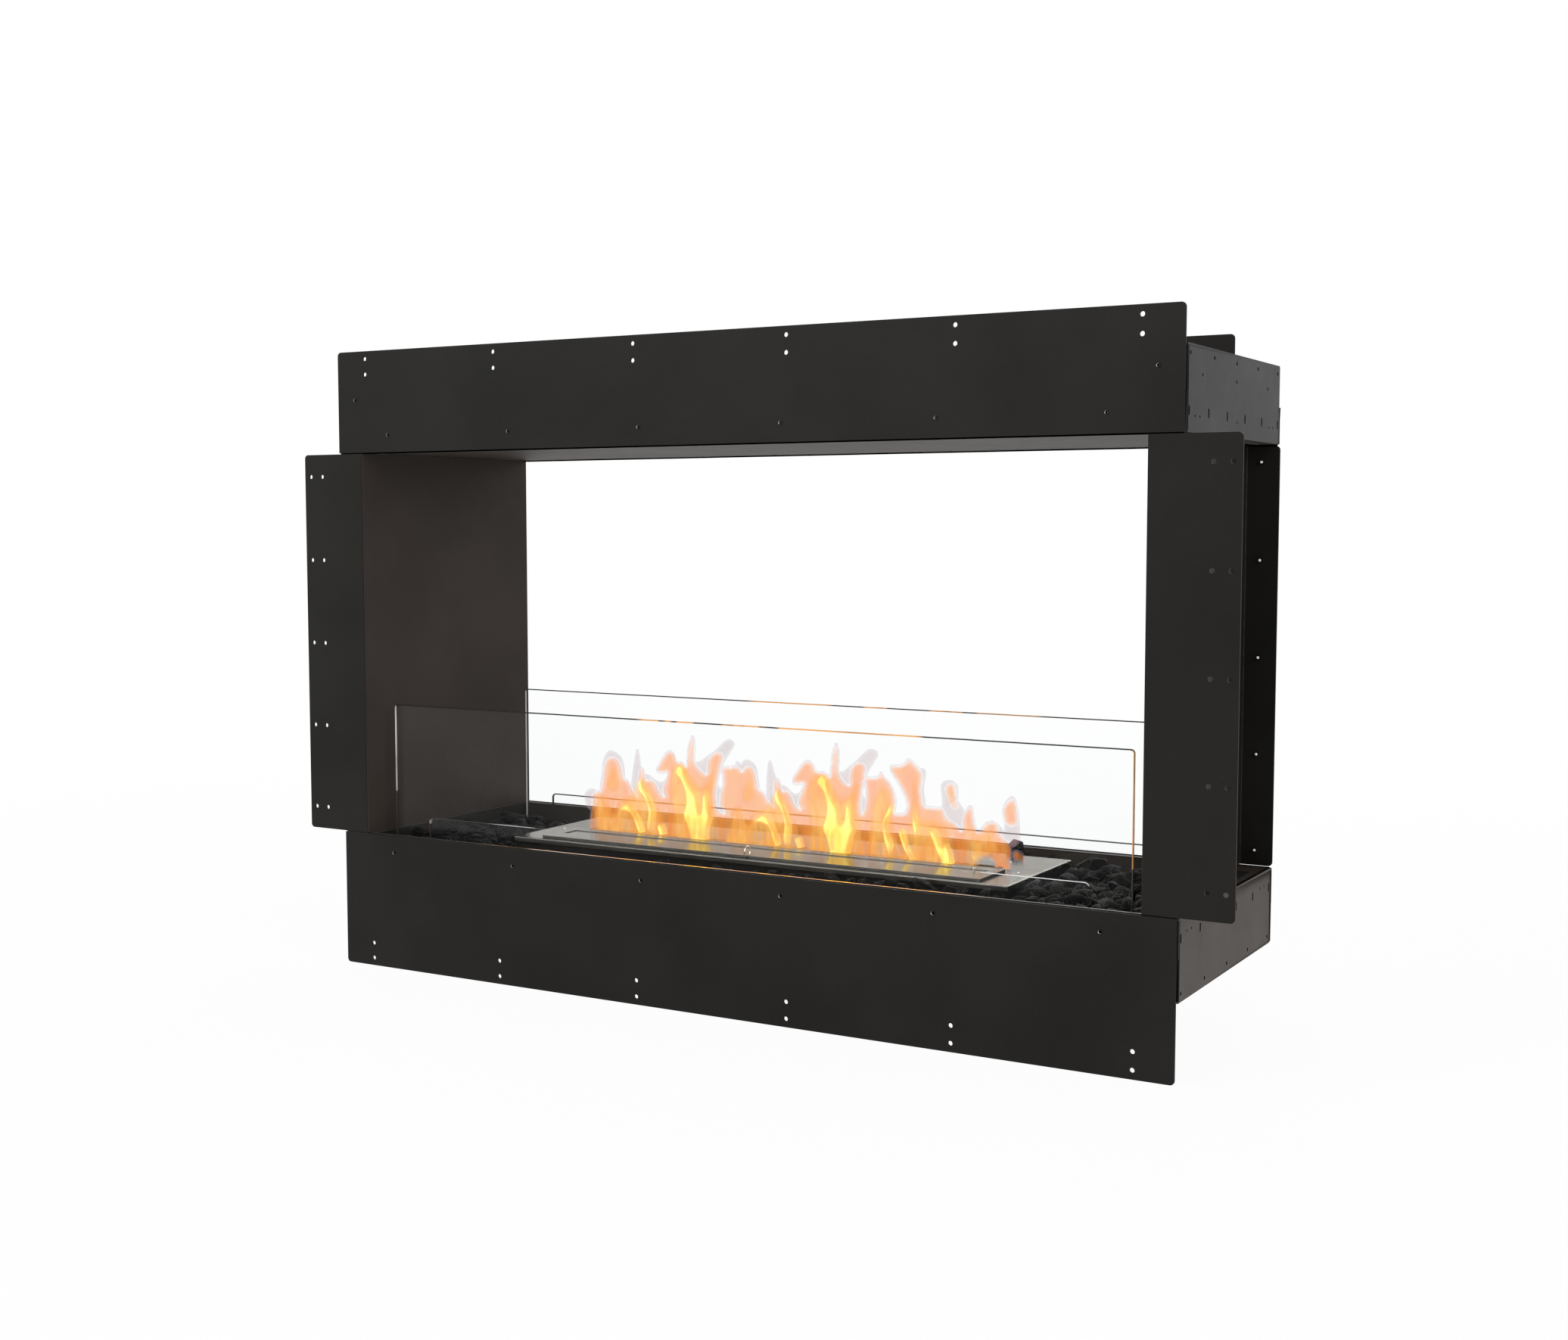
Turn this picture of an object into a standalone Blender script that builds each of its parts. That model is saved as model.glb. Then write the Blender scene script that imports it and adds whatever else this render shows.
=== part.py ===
"""Double-sided fireplace insert: folded black firebox, stainless slot burner, glass screens and stones.

Units are metres and +Z is up. The origin is the middle of the underside of the base tray. +X runs along
the long side and -Y faces the side that carries the front plates. The burner lid is at rest open, in front
of the slot, and slides along +Y to close it.
"""

import math

import bmesh
import bpy

# Firebox: overall
OPENING_WIDTH = 1.067
OPENING_HEIGHT = 0.502
DEPTH = 0.3492
BOX_END = 0.040
TOP_BOX_HEIGHT = 0.0906
BOTTOM_BOX_HEIGHT = 0.0904
SHEET = 0.002
FIT = 0.0003
OVERRUN = 0.003

# Folds, lips and front plates
LIP_HEIGHT = 0.0425
LIP_OVERHANG = 0.0009
RETURN_WIDTH = 0.045
COVER_LIP = 0.015
UPSTAND_INSET = 0.0545
BASE_LIP = 0.020
TOP_PLATE_HEIGHT = 0.131
BOTTOM_PLATE_HEIGHT = 0.176
PLATE_INSET = 0.0008
CORNER_RADIUS = 0.005

# Side panels
PANEL_GAP = 0.0014
FRONT_FLANGE = 0.1004
BACK_FLANGE = 0.041
BEND_RADIUS = 0.003
FOOT_WIDTH = 0.030
FOOT_INSET = 0.0546

# Fixing holes in the front plates and side panels
FIXING_HOLE = 0.0055
FIXING_PAIR_EDGE = 0.010
FIXING_PAIR_GAP = 0.020
PLATE_PAIR_INSET = 0.0462
PANEL_PAIR_INSET = 0.0304
PANEL_PAIR_EDGE = 0.010
PAIRS_PER_PLATE = 6
PAIRS_PER_PANEL = 5

# Rivet nuts
NUT_FLANGE = 0.0056
NUT_FLANGE_THICKNESS = 0.0005
NUT_BODY = 0.0044
NUT_BORE = 0.0030
NUT_LENGTH = 0.0075
NUT_SEAT = 0.0001
PLATE_NUT_INSET = 0.0845
PLATE_NUT_OFFSET = 0.022
UPPER_NUT_INSET = 0.0295
UPPER_NUT_DROP = 0.0224
PANEL_NUT_INSET = 0.0204
PANEL_NUT_OFFSET = 0.0208
NUTS_PER_PLATE = 6
NUTS_PER_PANEL = 5

# Holes and slots in the end plates
END_HOLE = 0.0045
END_HOLE_EDGE = 0.0095
END_HOLE_INSET = 0.0138
END_HOLES = 5
SIGHT_HOLE = 0.004
SIGHT_HOLE_DROP = 0.0296
SIGHT_HOLE_INSET = 0.0542
SIGHT_HOLES = 3
END_SLOT_WIDTH = 0.004
END_SLOT_HEIGHT = 0.0105
END_SLOT_OFFSET = 0.0222
END_SLOT_INSET = 0.0116
END_SLOTS = 6
PILOT_HOLE = 0.003
PILOT_OFFSET = 0.0175
PILOT_INSET = 0.0471
PILOT_PITCH = 0.016
MIDDLE_PILOT_Y = 0.004

# Floor pan and glass
PAN_RIM = 0.0136
PAN_SIDE_RIM = 0.002
PAN_DEPTH = 0.0425
GLASS = 0.004
GLASS_SIDE_GAP = 0.0202
TALL_GLASS_RISE = 0.1705
LOW_GLASS_INSET = 0.0515
LOW_GLASS_RISE = 0.0215
LOW_GLASS_RADIUS = 0.006
GLASS_PITCH = 0.006
CHANNEL_HEIGHT = 0.016
CHANNEL_WALL = 0.002
OUTER_TROUGH_SHARE = 0.341

# Burner
BURNER_LENGTH = 0.700
BURNER_WIDTH = 0.196
BURNER_RISE = 0.001
BURNER_SHEET = 0.0015
BURNER_LIP = 0.006
BURNER_EDGE_RADIUS = 0.0012
BURNER_TRAY_INSET = 0.004
TRAY_CUTOUT_GAP = 0.002
SLOT_INSET = 0.050
SLOT_WIDTH = 0.028
TANK_END_GAP = 0.026
TANK_SIDE_OVERLAP = 0.026
WICK_DROP = 0.010

# Burner lid
LID_END_OVERLAP = 0.012
LID_FRONT_MARGIN = 0.010
LID_SETBACK = 0.001
LID_HEIGHT = 0.0027
LID_SHEET = 0.0010
GROOVE_END_INSET = 0.014
GROOVE_FROM_BACK = 0.017
GROOVE_DEPTH = 0.0010
GROOVE_FROM_FRONT = 0.028
RING_RADIUS = 0.0066
RING_WIRE = 0.0008
RING_SETBACK = 0.002
PIN_RADIUS = 0.0014
PIN_HEIGHT = 0.0070
PIN_INSET = 0.013

# Stones
STONE_DROP = 0.027
STONE_CLEARANCE = 0.0015
STONE_RIPPLE = 0.0016
STONE_CELL = 0.016
RIPPLE_RATES = (2.3, 1.1, 0.9, 1.7)

# Smoothness
HOLE_SIDES = 12
CORNER_STEPS = 4
RING_STEPS = 24
WIRE_SIDES = 8

# Finishes: colour, roughness, metallic
BLACK_COAT = ("black_coat", (0.022, 0.021, 0.019), 0.62, 0.0)
GREY_COAT = ("grey_coat", (0.085, 0.082, 0.080), 0.60, 0.0)
STAINLESS = ("stainless", (0.60, 0.59, 0.57), 0.22, 1.0)
ZINC = ("zinc", (0.45, 0.45, 0.44), 0.35, 1.0)
CLEAR_GLASS = ("clear_glass", (0.92, 0.96, 0.95), 0.02, 0.0)
BLACK_STONE = ("black_stone", (0.012, 0.012, 0.013), 0.30, 0.0)
CERAMIC = ("ceramic", (0.80, 0.78, 0.72), 0.95, 0.0)

# Sizes that follow others
BOX_WIDTH = OPENING_WIDTH + 2 * BOX_END
COVER_UPSTAND_WIDTH = BOX_WIDTH - 2 * UPSTAND_INSET
COVER_UPSTAND_HEIGHT = TOP_PLATE_HEIGHT - TOP_BOX_HEIGHT
FOOT_LENGTH = DEPTH - 2 * FOOT_INSET
PLATE_PAIR_PITCH = (BOX_WIDTH - 2 * (PLATE_INSET + PLATE_PAIR_INSET)) / (PAIRS_PER_PLATE - 1)
PANEL_PAIR_PITCH = (OPENING_HEIGHT - 2 * PANEL_PAIR_INSET) / (PAIRS_PER_PANEL - 1)
PLATE_NUT_PITCH = (BOX_WIDTH - 2 * PLATE_NUT_INSET) / (NUTS_PER_PLATE - 1)
UPPER_NUT_X = BOX_WIDTH / 2 - UPPER_NUT_INSET
UPPER_NUT_HEIGHT = TOP_BOX_HEIGHT - UPPER_NUT_DROP
PANEL_NUT_PITCH = (OPENING_HEIGHT - 2 * PANEL_NUT_INSET) / (NUTS_PER_PANEL - 1)
END_HOLE_PITCH = (DEPTH - 2 * END_HOLE_INSET) / (END_HOLES - 1)
SIGHT_HOLE_HEIGHT = TOP_BOX_HEIGHT - SIGHT_HOLE_DROP
SIGHT_HOLE_PITCH = (DEPTH - 2 * SIGHT_HOLE_INSET) / (SIGHT_HOLES - 1)
END_SLOT_PITCH = (DEPTH - 2 * END_SLOT_INSET) / (END_SLOTS - 1)
PILOT_Y = DEPTH / 2 - PILOT_INSET
TALL_GLASS_WIDTH = OPENING_WIDTH - 2 * GLASS_SIDE_GAP
LOW_GLASS_WIDTH = TALL_GLASS_WIDTH - 2 * LOW_GLASS_INSET
CHANNEL_WIDTH = GLASS_PITCH + GLASS + 2 * (FIT + CHANNEL_WALL)
SLOT_LENGTH = BURNER_LENGTH - 2 * SLOT_INSET
TANK_LENGTH = BURNER_LENGTH - 2 * (BURNER_TRAY_INSET + TANK_END_GAP)
TANK_WIDTH = SLOT_WIDTH + 2 * TANK_SIDE_OVERLAP
LID_LENGTH = SLOT_LENGTH + 2 * LID_END_OVERLAP
LID_WIDTH = (BURNER_WIDTH - SLOT_WIDTH) / 2 - LID_SETBACK - LID_FRONT_MARGIN
GROOVE_LENGTH = LID_LENGTH - 2 * GROOVE_END_INSET
GROOVE_WIDTH = LID_WIDTH - GROOVE_FROM_FRONT - GROOVE_FROM_BACK
PIN_X = GROOVE_LENGTH / 2 - PIN_INSET

# Planes that several pieces share
FLOOR_Z = BOTTOM_BOX_HEIGHT
CEILING_Z = FLOOR_Z + OPENING_HEIGHT
BOX_TOP_Z = CEILING_Z + TOP_BOX_HEIGHT
FACE_Y = DEPTH / 2
LIP_Y = FACE_Y - SHEET - FIT
RETURN_Y = LIP_Y - SHEET - FIT
INNER_Y = RETURN_Y - SHEET - FIT
BOX_X = BOX_WIDTH / 2
TRAY_X = BOX_X - SHEET - FIT
WEB_X = OPENING_WIDTH / 2
PAN_FLOOR_Z = FLOOR_Z - PAN_DEPTH + SHEET
PAN_X = WEB_X - PAN_SIDE_RIM
PAN_Y = FACE_Y - PAN_RIM
BURNER_Z = FLOOR_Z + BURNER_RISE
PLATE_BOTTOM_Z = BURNER_Z - BURNER_SHEET
TRAY_HALF_LENGTH = BURNER_LENGTH / 2 - BURNER_TRAY_INSET
TRAY_HALF_WIDTH = BURNER_WIDTH / 2 - BURNER_TRAY_INSET
TRAY_TOP_Z = PLATE_BOTTOM_Z - FIT
TRAY_BOTTOM_Z = SHEET + FIT
LID_BACK_Y = -SLOT_WIDTH / 2 - LID_SETBACK
LID_FRONT_Y = LID_BACK_Y - LID_WIDTH
LID_BOTTOM_Z = BURNER_Z + FIT
LID_TOP_Z = LID_BOTTOM_Z + LID_HEIGHT
GROOVE_Y = LID_FRONT_Y + GROOVE_FROM_FRONT + GROOVE_WIDTH / 2
TROUGH_ROOM = PAN_Y - BURNER_WIDTH / 2 - CHANNEL_WIDTH
CHANNEL_OUTER_Y = PAN_Y - TROUGH_ROOM * OUTER_TROUGH_SHARE
CHANNEL_INNER_Y = CHANNEL_OUTER_Y - CHANNEL_WIDTH
TALL_GLASS_Y = CHANNEL_OUTER_Y - CHANNEL_WALL - FIT - GLASS / 2
GLASS_BOTTOM_Z = PAN_FLOOR_Z + FIT + CHANNEL_WALL + FIT


def clear_scene():
    for obj in list(bpy.data.objects):
        bpy.data.objects.remove(obj)


def material(finish):
    name, colour, roughness, metallic = finish
    made = bpy.data.materials.new(name)
    made.use_nodes = True
    shader = made.node_tree.nodes["Principled BSDF"]
    shader.inputs["Base Color"].default_value = (*colour, 1)
    shader.inputs["Roughness"].default_value = roughness
    shader.inputs["Metallic"].default_value = metallic
    return made


def add_object(name, bm, finish=None):
    """Turns a bmesh into an object. Without a finish it is a cutter, which the build leaves out."""
    bmesh.ops.recalc_face_normals(bm, faces=bm.faces)
    mesh = bpy.data.meshes.new(name)
    bm.to_mesh(mesh)
    bm.free()
    obj = bpy.data.objects.new(name, mesh)
    bpy.context.scene.collection.objects.link(obj)
    if finish:
        mesh.materials.append(material(finish))
    else:
        obj.hide_render = True
        obj.display_type = "WIRE"
    return obj


def combine(obj, other, operation):
    modifier = obj.modifiers.new(other.name, "BOOLEAN")
    modifier.operation = operation
    modifier.solver = "EXACT"
    modifier.object = other


def place(axis, a, b, along):
    """A point given in the plane square to an axis, and its place along that axis."""
    if axis == "X":
        return (along, a, b)
    if axis == "Y":
        return (a, along, b)
    return (a, b, along)


def add_prism(bm, outline, axis, low, high):
    bottom = [bm.verts.new(place(axis, a, b, low)) for a, b in outline]
    top = [bm.verts.new(place(axis, a, b, high)) for a, b in outline]
    bm.faces.new(bottom)
    bm.faces.new(top)
    for i, corner in enumerate(bottom):
        following = (i + 1) % len(bottom)
        bm.faces.new((corner, bottom[following], top[following], top[i]))


def arc(centre_a, centre_b, radius, start, end, steps):
    angles = [start + (end - start) * i / steps for i in range(steps + 1)]
    return [(centre_a + radius * math.cos(t), centre_b + radius * math.sin(t)) for t in angles]


def circle(centre_a, centre_b, diameter):
    points = arc(centre_a, centre_b, diameter / 2, 0, math.tau, HOLE_SIDES)
    return points[:-1]


def upright_slot(centre_a, centre_b, width, height):
    straight = (height - width) / 2
    half_round = HOLE_SIDES // 2
    upper = arc(centre_a, centre_b + straight, width / 2, 0, math.pi, half_round)
    lower = arc(centre_a, centre_b - straight, width / 2, math.pi, math.tau, half_round)
    return upper + lower


def rectangle(a0, b0, a1, b1):
    return [(a0, b0), (a1, b0), (a1, b1), (a0, b1)]


def rounded(a0, b0, a1, b1, radius, low=(True, True), high=(True, True)):
    """A rectangle whose corners at b0 (low) and b1 (high), left then right, are round where True."""
    points = []
    corners = (
        (low[0], a0, b0, 1, 1, math.pi),
        (low[1], a1, b0, -1, 1, 1.5 * math.pi),
        (high[1], a1, b1, -1, -1, 0),
        (high[0], a0, b1, 1, -1, math.pi / 2),
    )
    for is_round, a, b, side_a, side_b, start in corners:
        if is_round:
            centre = (a + side_a * radius, b + side_b * radius)
            points += arc(*centre, radius, start, start + math.pi / 2, CORNER_STEPS)
        else:
            points.append((a, b))
    return points


def prism(name, outline, axis, low, high, finish=None):
    bm = bmesh.new()
    add_prism(bm, outline, axis, low, high)
    return add_object(name, bm, finish)


def box(name, low, high, finish=None):
    return prism(name, rectangle(low[0], low[1], high[0], high[1]), "Z", low[2], high[2], finish)


def punch(obj, outlines, axis, low, high):
    """Cuts every outline through the object along one axis, with one cutter."""
    bm = bmesh.new()
    for outline in outlines:
        add_prism(bm, outline, axis, low, high)
    combine(obj, add_object(obj.name + "_cut", bm), "DIFFERENCE")


def cut_box(obj, low, high):
    combine(obj, box(obj.name + "_cut", low, high), "DIFFERENCE")


def join_box(obj, low, high):
    combine(obj, box(obj.name + "_join", low, high), "UNION")


def join_prism(obj, outline, axis, low, high):
    combine(obj, prism(obj.name + "_join", outline, axis, low, high), "UNION")


def spread(count, pitch):
    """Places of a row of copies, centred on zero."""
    return [(i - (count - 1) / 2) * pitch for i in range(count)]


def mirrored_x(side, low_x, high_x):
    return (low_x, high_x) if side > 0 else (-high_x, -low_x)


def plate_pair_outlines(edge_z, inward):
    """Pairs of fixing holes along a front plate's free edge."""
    heights = [edge_z + inward * (FIXING_PAIR_EDGE + FIXING_PAIR_GAP * i) for i in range(2)]
    places = spread(PAIRS_PER_PLATE, PLATE_PAIR_PITCH)
    return [circle(x, z, FIXING_HOLE) for x in places for z in heights]


def nut_hole(x, z):
    return circle(x, z, NUT_BODY + NUT_SEAT * 2)


def plate_nut_places(edge_z, inward):
    return [(x, edge_z + inward * PLATE_NUT_OFFSET) for x in spread(NUTS_PER_PLATE, PLATE_NUT_PITCH)]


def upper_nut_places():
    return [(side * UPPER_NUT_X, CEILING_Z + UPPER_NUT_HEIGHT) for side in (-1, 1)]


def panel_nut_places(side):
    middle = (FLOOR_Z + CEILING_Z) / 2
    x = side * (WEB_X + PANEL_NUT_OFFSET)
    return [(x, middle + z) for z in spread(NUTS_PER_PANEL, PANEL_NUT_PITCH)]


def make_top_front_plate():
    half = BOX_X - PLATE_INSET
    top = CEILING_Z + TOP_PLATE_HEIGHT
    outline = rounded(-half, CEILING_Z, half, top, CORNER_RADIUS, low=(False, False))
    plate = prism("top_front_plate", outline, "Y", -FACE_Y, -FACE_Y + SHEET, BLACK_COAT)
    holes = plate_pair_outlines(top, -1)
    holes += [nut_hole(x, z) for x, z in plate_nut_places(CEILING_Z, 1) + upper_nut_places()]
    punch(plate, holes, "Y", -FACE_Y - OVERRUN, -FACE_Y + SHEET + OVERRUN)


def make_bottom_front_plate():
    half = BOX_X - PLATE_INSET
    bottom = FLOOR_Z - BOTTOM_PLATE_HEIGHT
    outline = rounded(-half, bottom, half, FLOOR_Z, CORNER_RADIUS, high=(False, False))
    plate = prism("bottom_front_plate", outline, "Y", -FACE_Y, -FACE_Y + SHEET, BLACK_COAT)
    holes = plate_pair_outlines(bottom, 1)
    holes += [nut_hole(x, z) for x, z in plate_nut_places(FLOOR_Z, -1)]
    punch(plate, holes, "Y", -FACE_Y - OVERRUN, -FACE_Y + SHEET + OVERRUN)


def add_end_lips(tray, base_z, tip_z):
    """Lips at a tray's two ends, between the end plates' return flanges."""
    for side in (-1, 1):
        low_x, high_x = mirrored_x(side, TRAY_X - SHEET, TRAY_X)
        join_box(tray, (low_x, -INNER_Y, base_z), (high_x, INNER_Y, tip_z))


def add_long_lips(tray, base_z, tip_z):
    """Lips along a tray's front and back, a little wider than the box."""
    half = BOX_X + LIP_OVERHANG
    for side in (-1, 1):
        near, far = sorted((side * (LIP_Y - SHEET), side * LIP_Y))
        join_box(tray, (-half, near, base_z), (half, far, tip_z))


def tray_nut_holes(tray, places):
    outlines = [nut_hole(x, z) for x, z in places]
    punch(tray, outlines, "Y", -LIP_Y - OVERRUN, -LIP_Y + SHEET + OVERRUN)


def make_ceiling_tray():
    tray = box("ceiling_tray", (-TRAY_X, -LIP_Y, CEILING_Z), (TRAY_X, LIP_Y, CEILING_Z + SHEET), GREY_COAT)
    add_long_lips(tray, CEILING_Z, CEILING_Z + LIP_HEIGHT)
    add_end_lips(tray, CEILING_Z, CEILING_Z + LIP_HEIGHT)
    tray_nut_holes(tray, plate_nut_places(CEILING_Z, 1))


def make_floor_tray():
    top = FLOOR_Z
    tray = box("floor_tray", (-TRAY_X, -LIP_Y, top - SHEET), (TRAY_X, LIP_Y, top), BLACK_COAT)
    add_long_lips(tray, top - LIP_HEIGHT, top)
    add_end_lips(tray, top - LIP_HEIGHT, top)
    outer = (PAN_X + SHEET, PAN_Y + SHEET)
    join_box(tray, (-outer[0], -outer[1], top - PAN_DEPTH), (outer[0], outer[1], top))
    cut_box(tray, (-PAN_X, -PAN_Y, PAN_FLOOR_Z), (PAN_X, PAN_Y, top + OVERRUN))
    half_x = TRAY_HALF_LENGTH + TRAY_CUTOUT_GAP
    half_y = TRAY_HALF_WIDTH + TRAY_CUTOUT_GAP
    cut_box(tray, (-half_x, -half_y, top - PAN_DEPTH - OVERRUN), (half_x, half_y, PAN_FLOOR_Z + OVERRUN))
    tray_nut_holes(tray, plate_nut_places(FLOOR_Z, -1))


def make_base_tray():
    tray = box("base_tray", (-TRAY_X, -LIP_Y, 0), (TRAY_X, LIP_Y, SHEET), BLACK_COAT)
    add_end_lips(tray, 0, BASE_LIP)
    for side in (-1, 1):
        near, far = sorted((side * (LIP_Y - SHEET), side * LIP_Y))
        join_box(tray, (-TRAY_X, near, 0), (TRAY_X, far, BASE_LIP))
    outlines = [circle(y, END_HOLE_EDGE, END_HOLE) for y in spread(END_HOLES, END_HOLE_PITCH)]
    reach = TRAY_X + OVERRUN
    punch(tray, outlines, "X", -reach, reach)


def make_top_cover():
    top = BOX_TOP_Z
    cover = box("top_cover", (-TRAY_X, -LIP_Y, top - SHEET), (TRAY_X, LIP_Y, top), BLACK_COAT)
    add_end_lips(cover, top - COVER_LIP, top)
    join_box(cover, (-TRAY_X, -LIP_Y, top - COVER_LIP), (TRAY_X, -LIP_Y + SHEET, top))
    half = COVER_UPSTAND_WIDTH / 2
    upstand = rounded(-half, top - SHEET, half, top + COVER_UPSTAND_HEIGHT, CORNER_RADIUS, low=(False, False))
    join_prism(cover, upstand, "Y", LIP_Y - SHEET, LIP_Y)
    outlines = [circle(y, top - END_HOLE_EDGE, END_HOLE) for y in spread(END_HOLES, END_HOLE_PITCH)]
    reach = TRAY_X + OVERRUN
    punch(cover, outlines, "X", -reach, reach)


def end_plate_outlines(fold_z, inward, height):
    """Slots and pilot holes near the fire opening, and a row of holes near the far edge."""
    far_z = fold_z + inward * (height - END_HOLE_EDGE)
    outlines = [circle(y, far_z, END_HOLE) for y in spread(END_HOLES, END_HOLE_PITCH)]
    slot_z = fold_z + inward * END_SLOT_OFFSET
    for y in spread(END_SLOTS, END_SLOT_PITCH):
        outlines.append(upright_slot(y, slot_z, END_SLOT_WIDTH, END_SLOT_HEIGHT))
    pilot_z = fold_z + inward * PILOT_OFFSET
    for side in (-1, 1):
        for step in range(2):
            outlines.append(circle(side * (PILOT_Y + step * PILOT_PITCH), pilot_z, PILOT_HOLE))
    outlines.append(circle(MIDDLE_PILOT_Y, pilot_z, PILOT_HOLE))
    return outlines


def make_end_plate(name, side, low_z, high_z, outlines, finish):
    web = mirrored_x(side, BOX_X - SHEET, BOX_X)
    plate = box(name, (web[0], -RETURN_Y, low_z), (web[1], RETURN_Y, high_z), finish)
    inward = mirrored_x(side, BOX_X - RETURN_WIDTH, BOX_X)
    for end in (-1, 1):
        near, far = sorted((end * (RETURN_Y - SHEET), end * RETURN_Y))
        join_box(plate, (inward[0], near, low_z + SHEET + FIT), (inward[1], far, high_z - SHEET - FIT))
    cutter = mirrored_x(side, BOX_X - SHEET - OVERRUN, BOX_X + OVERRUN)
    punch(plate, outlines, "X", *cutter)
    return plate


def make_end_plates():
    for side, word in ((-1, "left"), (1, "right")):
        outlines = end_plate_outlines(CEILING_Z, 1, TOP_BOX_HEIGHT)
        sight_z = CEILING_Z + SIGHT_HOLE_HEIGHT
        outlines += [circle(y, sight_z, SIGHT_HOLE) for y in spread(SIGHT_HOLES, SIGHT_HOLE_PITCH)]
        name = "top_end_plate_" + word
        plate = make_end_plate(name, side, CEILING_Z, BOX_TOP_Z, outlines, GREY_COAT)
        nut = [nut_hole(x, z) for x, z in upper_nut_places() if x * side > 0]
        punch(plate, nut, "Y", -RETURN_Y - OVERRUN, -RETURN_Y + SHEET + OVERRUN)
        outlines = end_plate_outlines(FLOOR_Z, -1, BOTTOM_BOX_HEIGHT)
        make_end_plate("bottom_end_plate_" + word, side, FIT, FLOOR_Z, outlines, GREY_COAT)


def panel_section(side):
    """The side panel seen from above: front flange, web and back flange, with round bends."""
    inner = WEB_X
    front_tip, back_tip = WEB_X + FRONT_FLANGE, WEB_X + BACK_FLANGE
    wide, tight = BEND_RADIUS, BEND_RADIUS - SHEET
    outline = [(front_tip, -FACE_Y)]
    outline += reversed(arc(inner + wide, -FACE_Y + wide, wide, math.pi, 1.5 * math.pi, CORNER_STEPS))
    outline += reversed(arc(inner + wide, FACE_Y - wide, wide, math.pi / 2, math.pi, CORNER_STEPS))
    outline += [(back_tip, FACE_Y), (back_tip, FACE_Y - SHEET)]
    outline += arc(inner + wide, FACE_Y - wide, tight, math.pi / 2, math.pi, CORNER_STEPS)
    outline += arc(inner + wide, -FACE_Y + wide, tight, math.pi, 1.5 * math.pi, CORNER_STEPS)
    outline.append((front_tip, -FACE_Y + SHEET))
    return [(side * x, y) for x, y in outline]


def trim_flange(panel, side, tip_x, low_y, high_y):
    """Rounds the two free corners of one flange, by cutting away what lies outside an arc."""
    low_z, high_z = FLOOR_Z + PANEL_GAP, CEILING_Z - PANEL_GAP
    for corner_z, inward in ((low_z, 1), (high_z, -1)):
        centre = (tip_x - CORNER_RADIUS, corner_z + inward * CORNER_RADIUS)
        bow = arc(*centre, CORNER_RADIUS, 0, -inward * math.pi / 2, CORNER_STEPS)
        outline = bow + [(centre[0], corner_z - inward * OVERRUN)]
        outline += [(tip_x + OVERRUN, corner_z - inward * OVERRUN), (tip_x + OVERRUN, centre[1])]
        punch(panel, [[(side * x, z) for x, z in outline]], "Y", low_y - OVERRUN, high_y + OVERRUN)


def make_side_panels():
    for side, word in ((-1, "left"), (1, "right")):
        low_z, high_z = FLOOR_Z + PANEL_GAP, CEILING_Z - PANEL_GAP
        panel = prism(word + "_side_panel", panel_section(side), "Z", low_z, high_z, BLACK_COAT)
        foot = mirrored_x(side, WEB_X, WEB_X + FOOT_WIDTH)
        half = FOOT_LENGTH / 2
        join_box(panel, (foot[0], -half, FLOOR_Z + FIT), (foot[1], half, FLOOR_Z + FIT + SHEET))
        join_box(panel, (foot[0], -half, CEILING_Z - FIT - SHEET), (foot[1], half, CEILING_Z - FIT))
        trim_flange(panel, side, WEB_X + FRONT_FLANGE, -FACE_Y, -FACE_Y + SHEET)
        trim_flange(panel, side, WEB_X + BACK_FLANGE, FACE_Y - SHEET, FACE_Y)
        edge_x = side * (WEB_X + FRONT_FLANGE)
        columns = [edge_x - side * (PANEL_PAIR_EDGE + FIXING_PAIR_GAP * i) for i in range(2)]
        middle = (FLOOR_Z + CEILING_Z) / 2
        rows = [middle + z for z in spread(PAIRS_PER_PANEL, PANEL_PAIR_PITCH)]
        holes = [circle(x, z, FIXING_HOLE) for x in columns for z in rows]
        punch(panel, holes, "Y", -FACE_Y - OVERRUN, -FACE_Y + SHEET + OVERRUN)
        nuts = [nut_hole(x, z) for x, z in panel_nut_places(side)]
        punch(panel, nuts, "Y", FACE_Y - SHEET - OVERRUN, FACE_Y + OVERRUN)


def make_rivet_nut(name, x, z, end):
    """A flanged tube set from outside into the front (end -1) or the back (end 1) of the box."""
    flange_y = FACE_Y + NUT_SEAT
    profile = (
        (NUT_BORE / 2, end * (flange_y + NUT_FLANGE_THICKNESS)),
        (NUT_FLANGE / 2, end * (flange_y + NUT_FLANGE_THICKNESS)),
        (NUT_FLANGE / 2, end * flange_y),
        (NUT_BODY / 2, end * flange_y),
        (NUT_BODY / 2, end * (flange_y - NUT_LENGTH)),
        (NUT_BORE / 2, end * (flange_y - NUT_LENGTH)),
    )
    bm = bmesh.new()
    rings = []
    for radius, y in profile:
        outline = circle(x, z, radius * 2)
        rings.append([bm.verts.new((a, y, b)) for a, b in outline])
    for i, ring in enumerate(rings):
        following = rings[(i + 1) % len(rings)]
        for j in range(HOLE_SIDES):
            k = (j + 1) % HOLE_SIDES
            bm.faces.new((ring[j], ring[k], following[k], following[j]))
    add_object(name, bm, ZINC)


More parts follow.
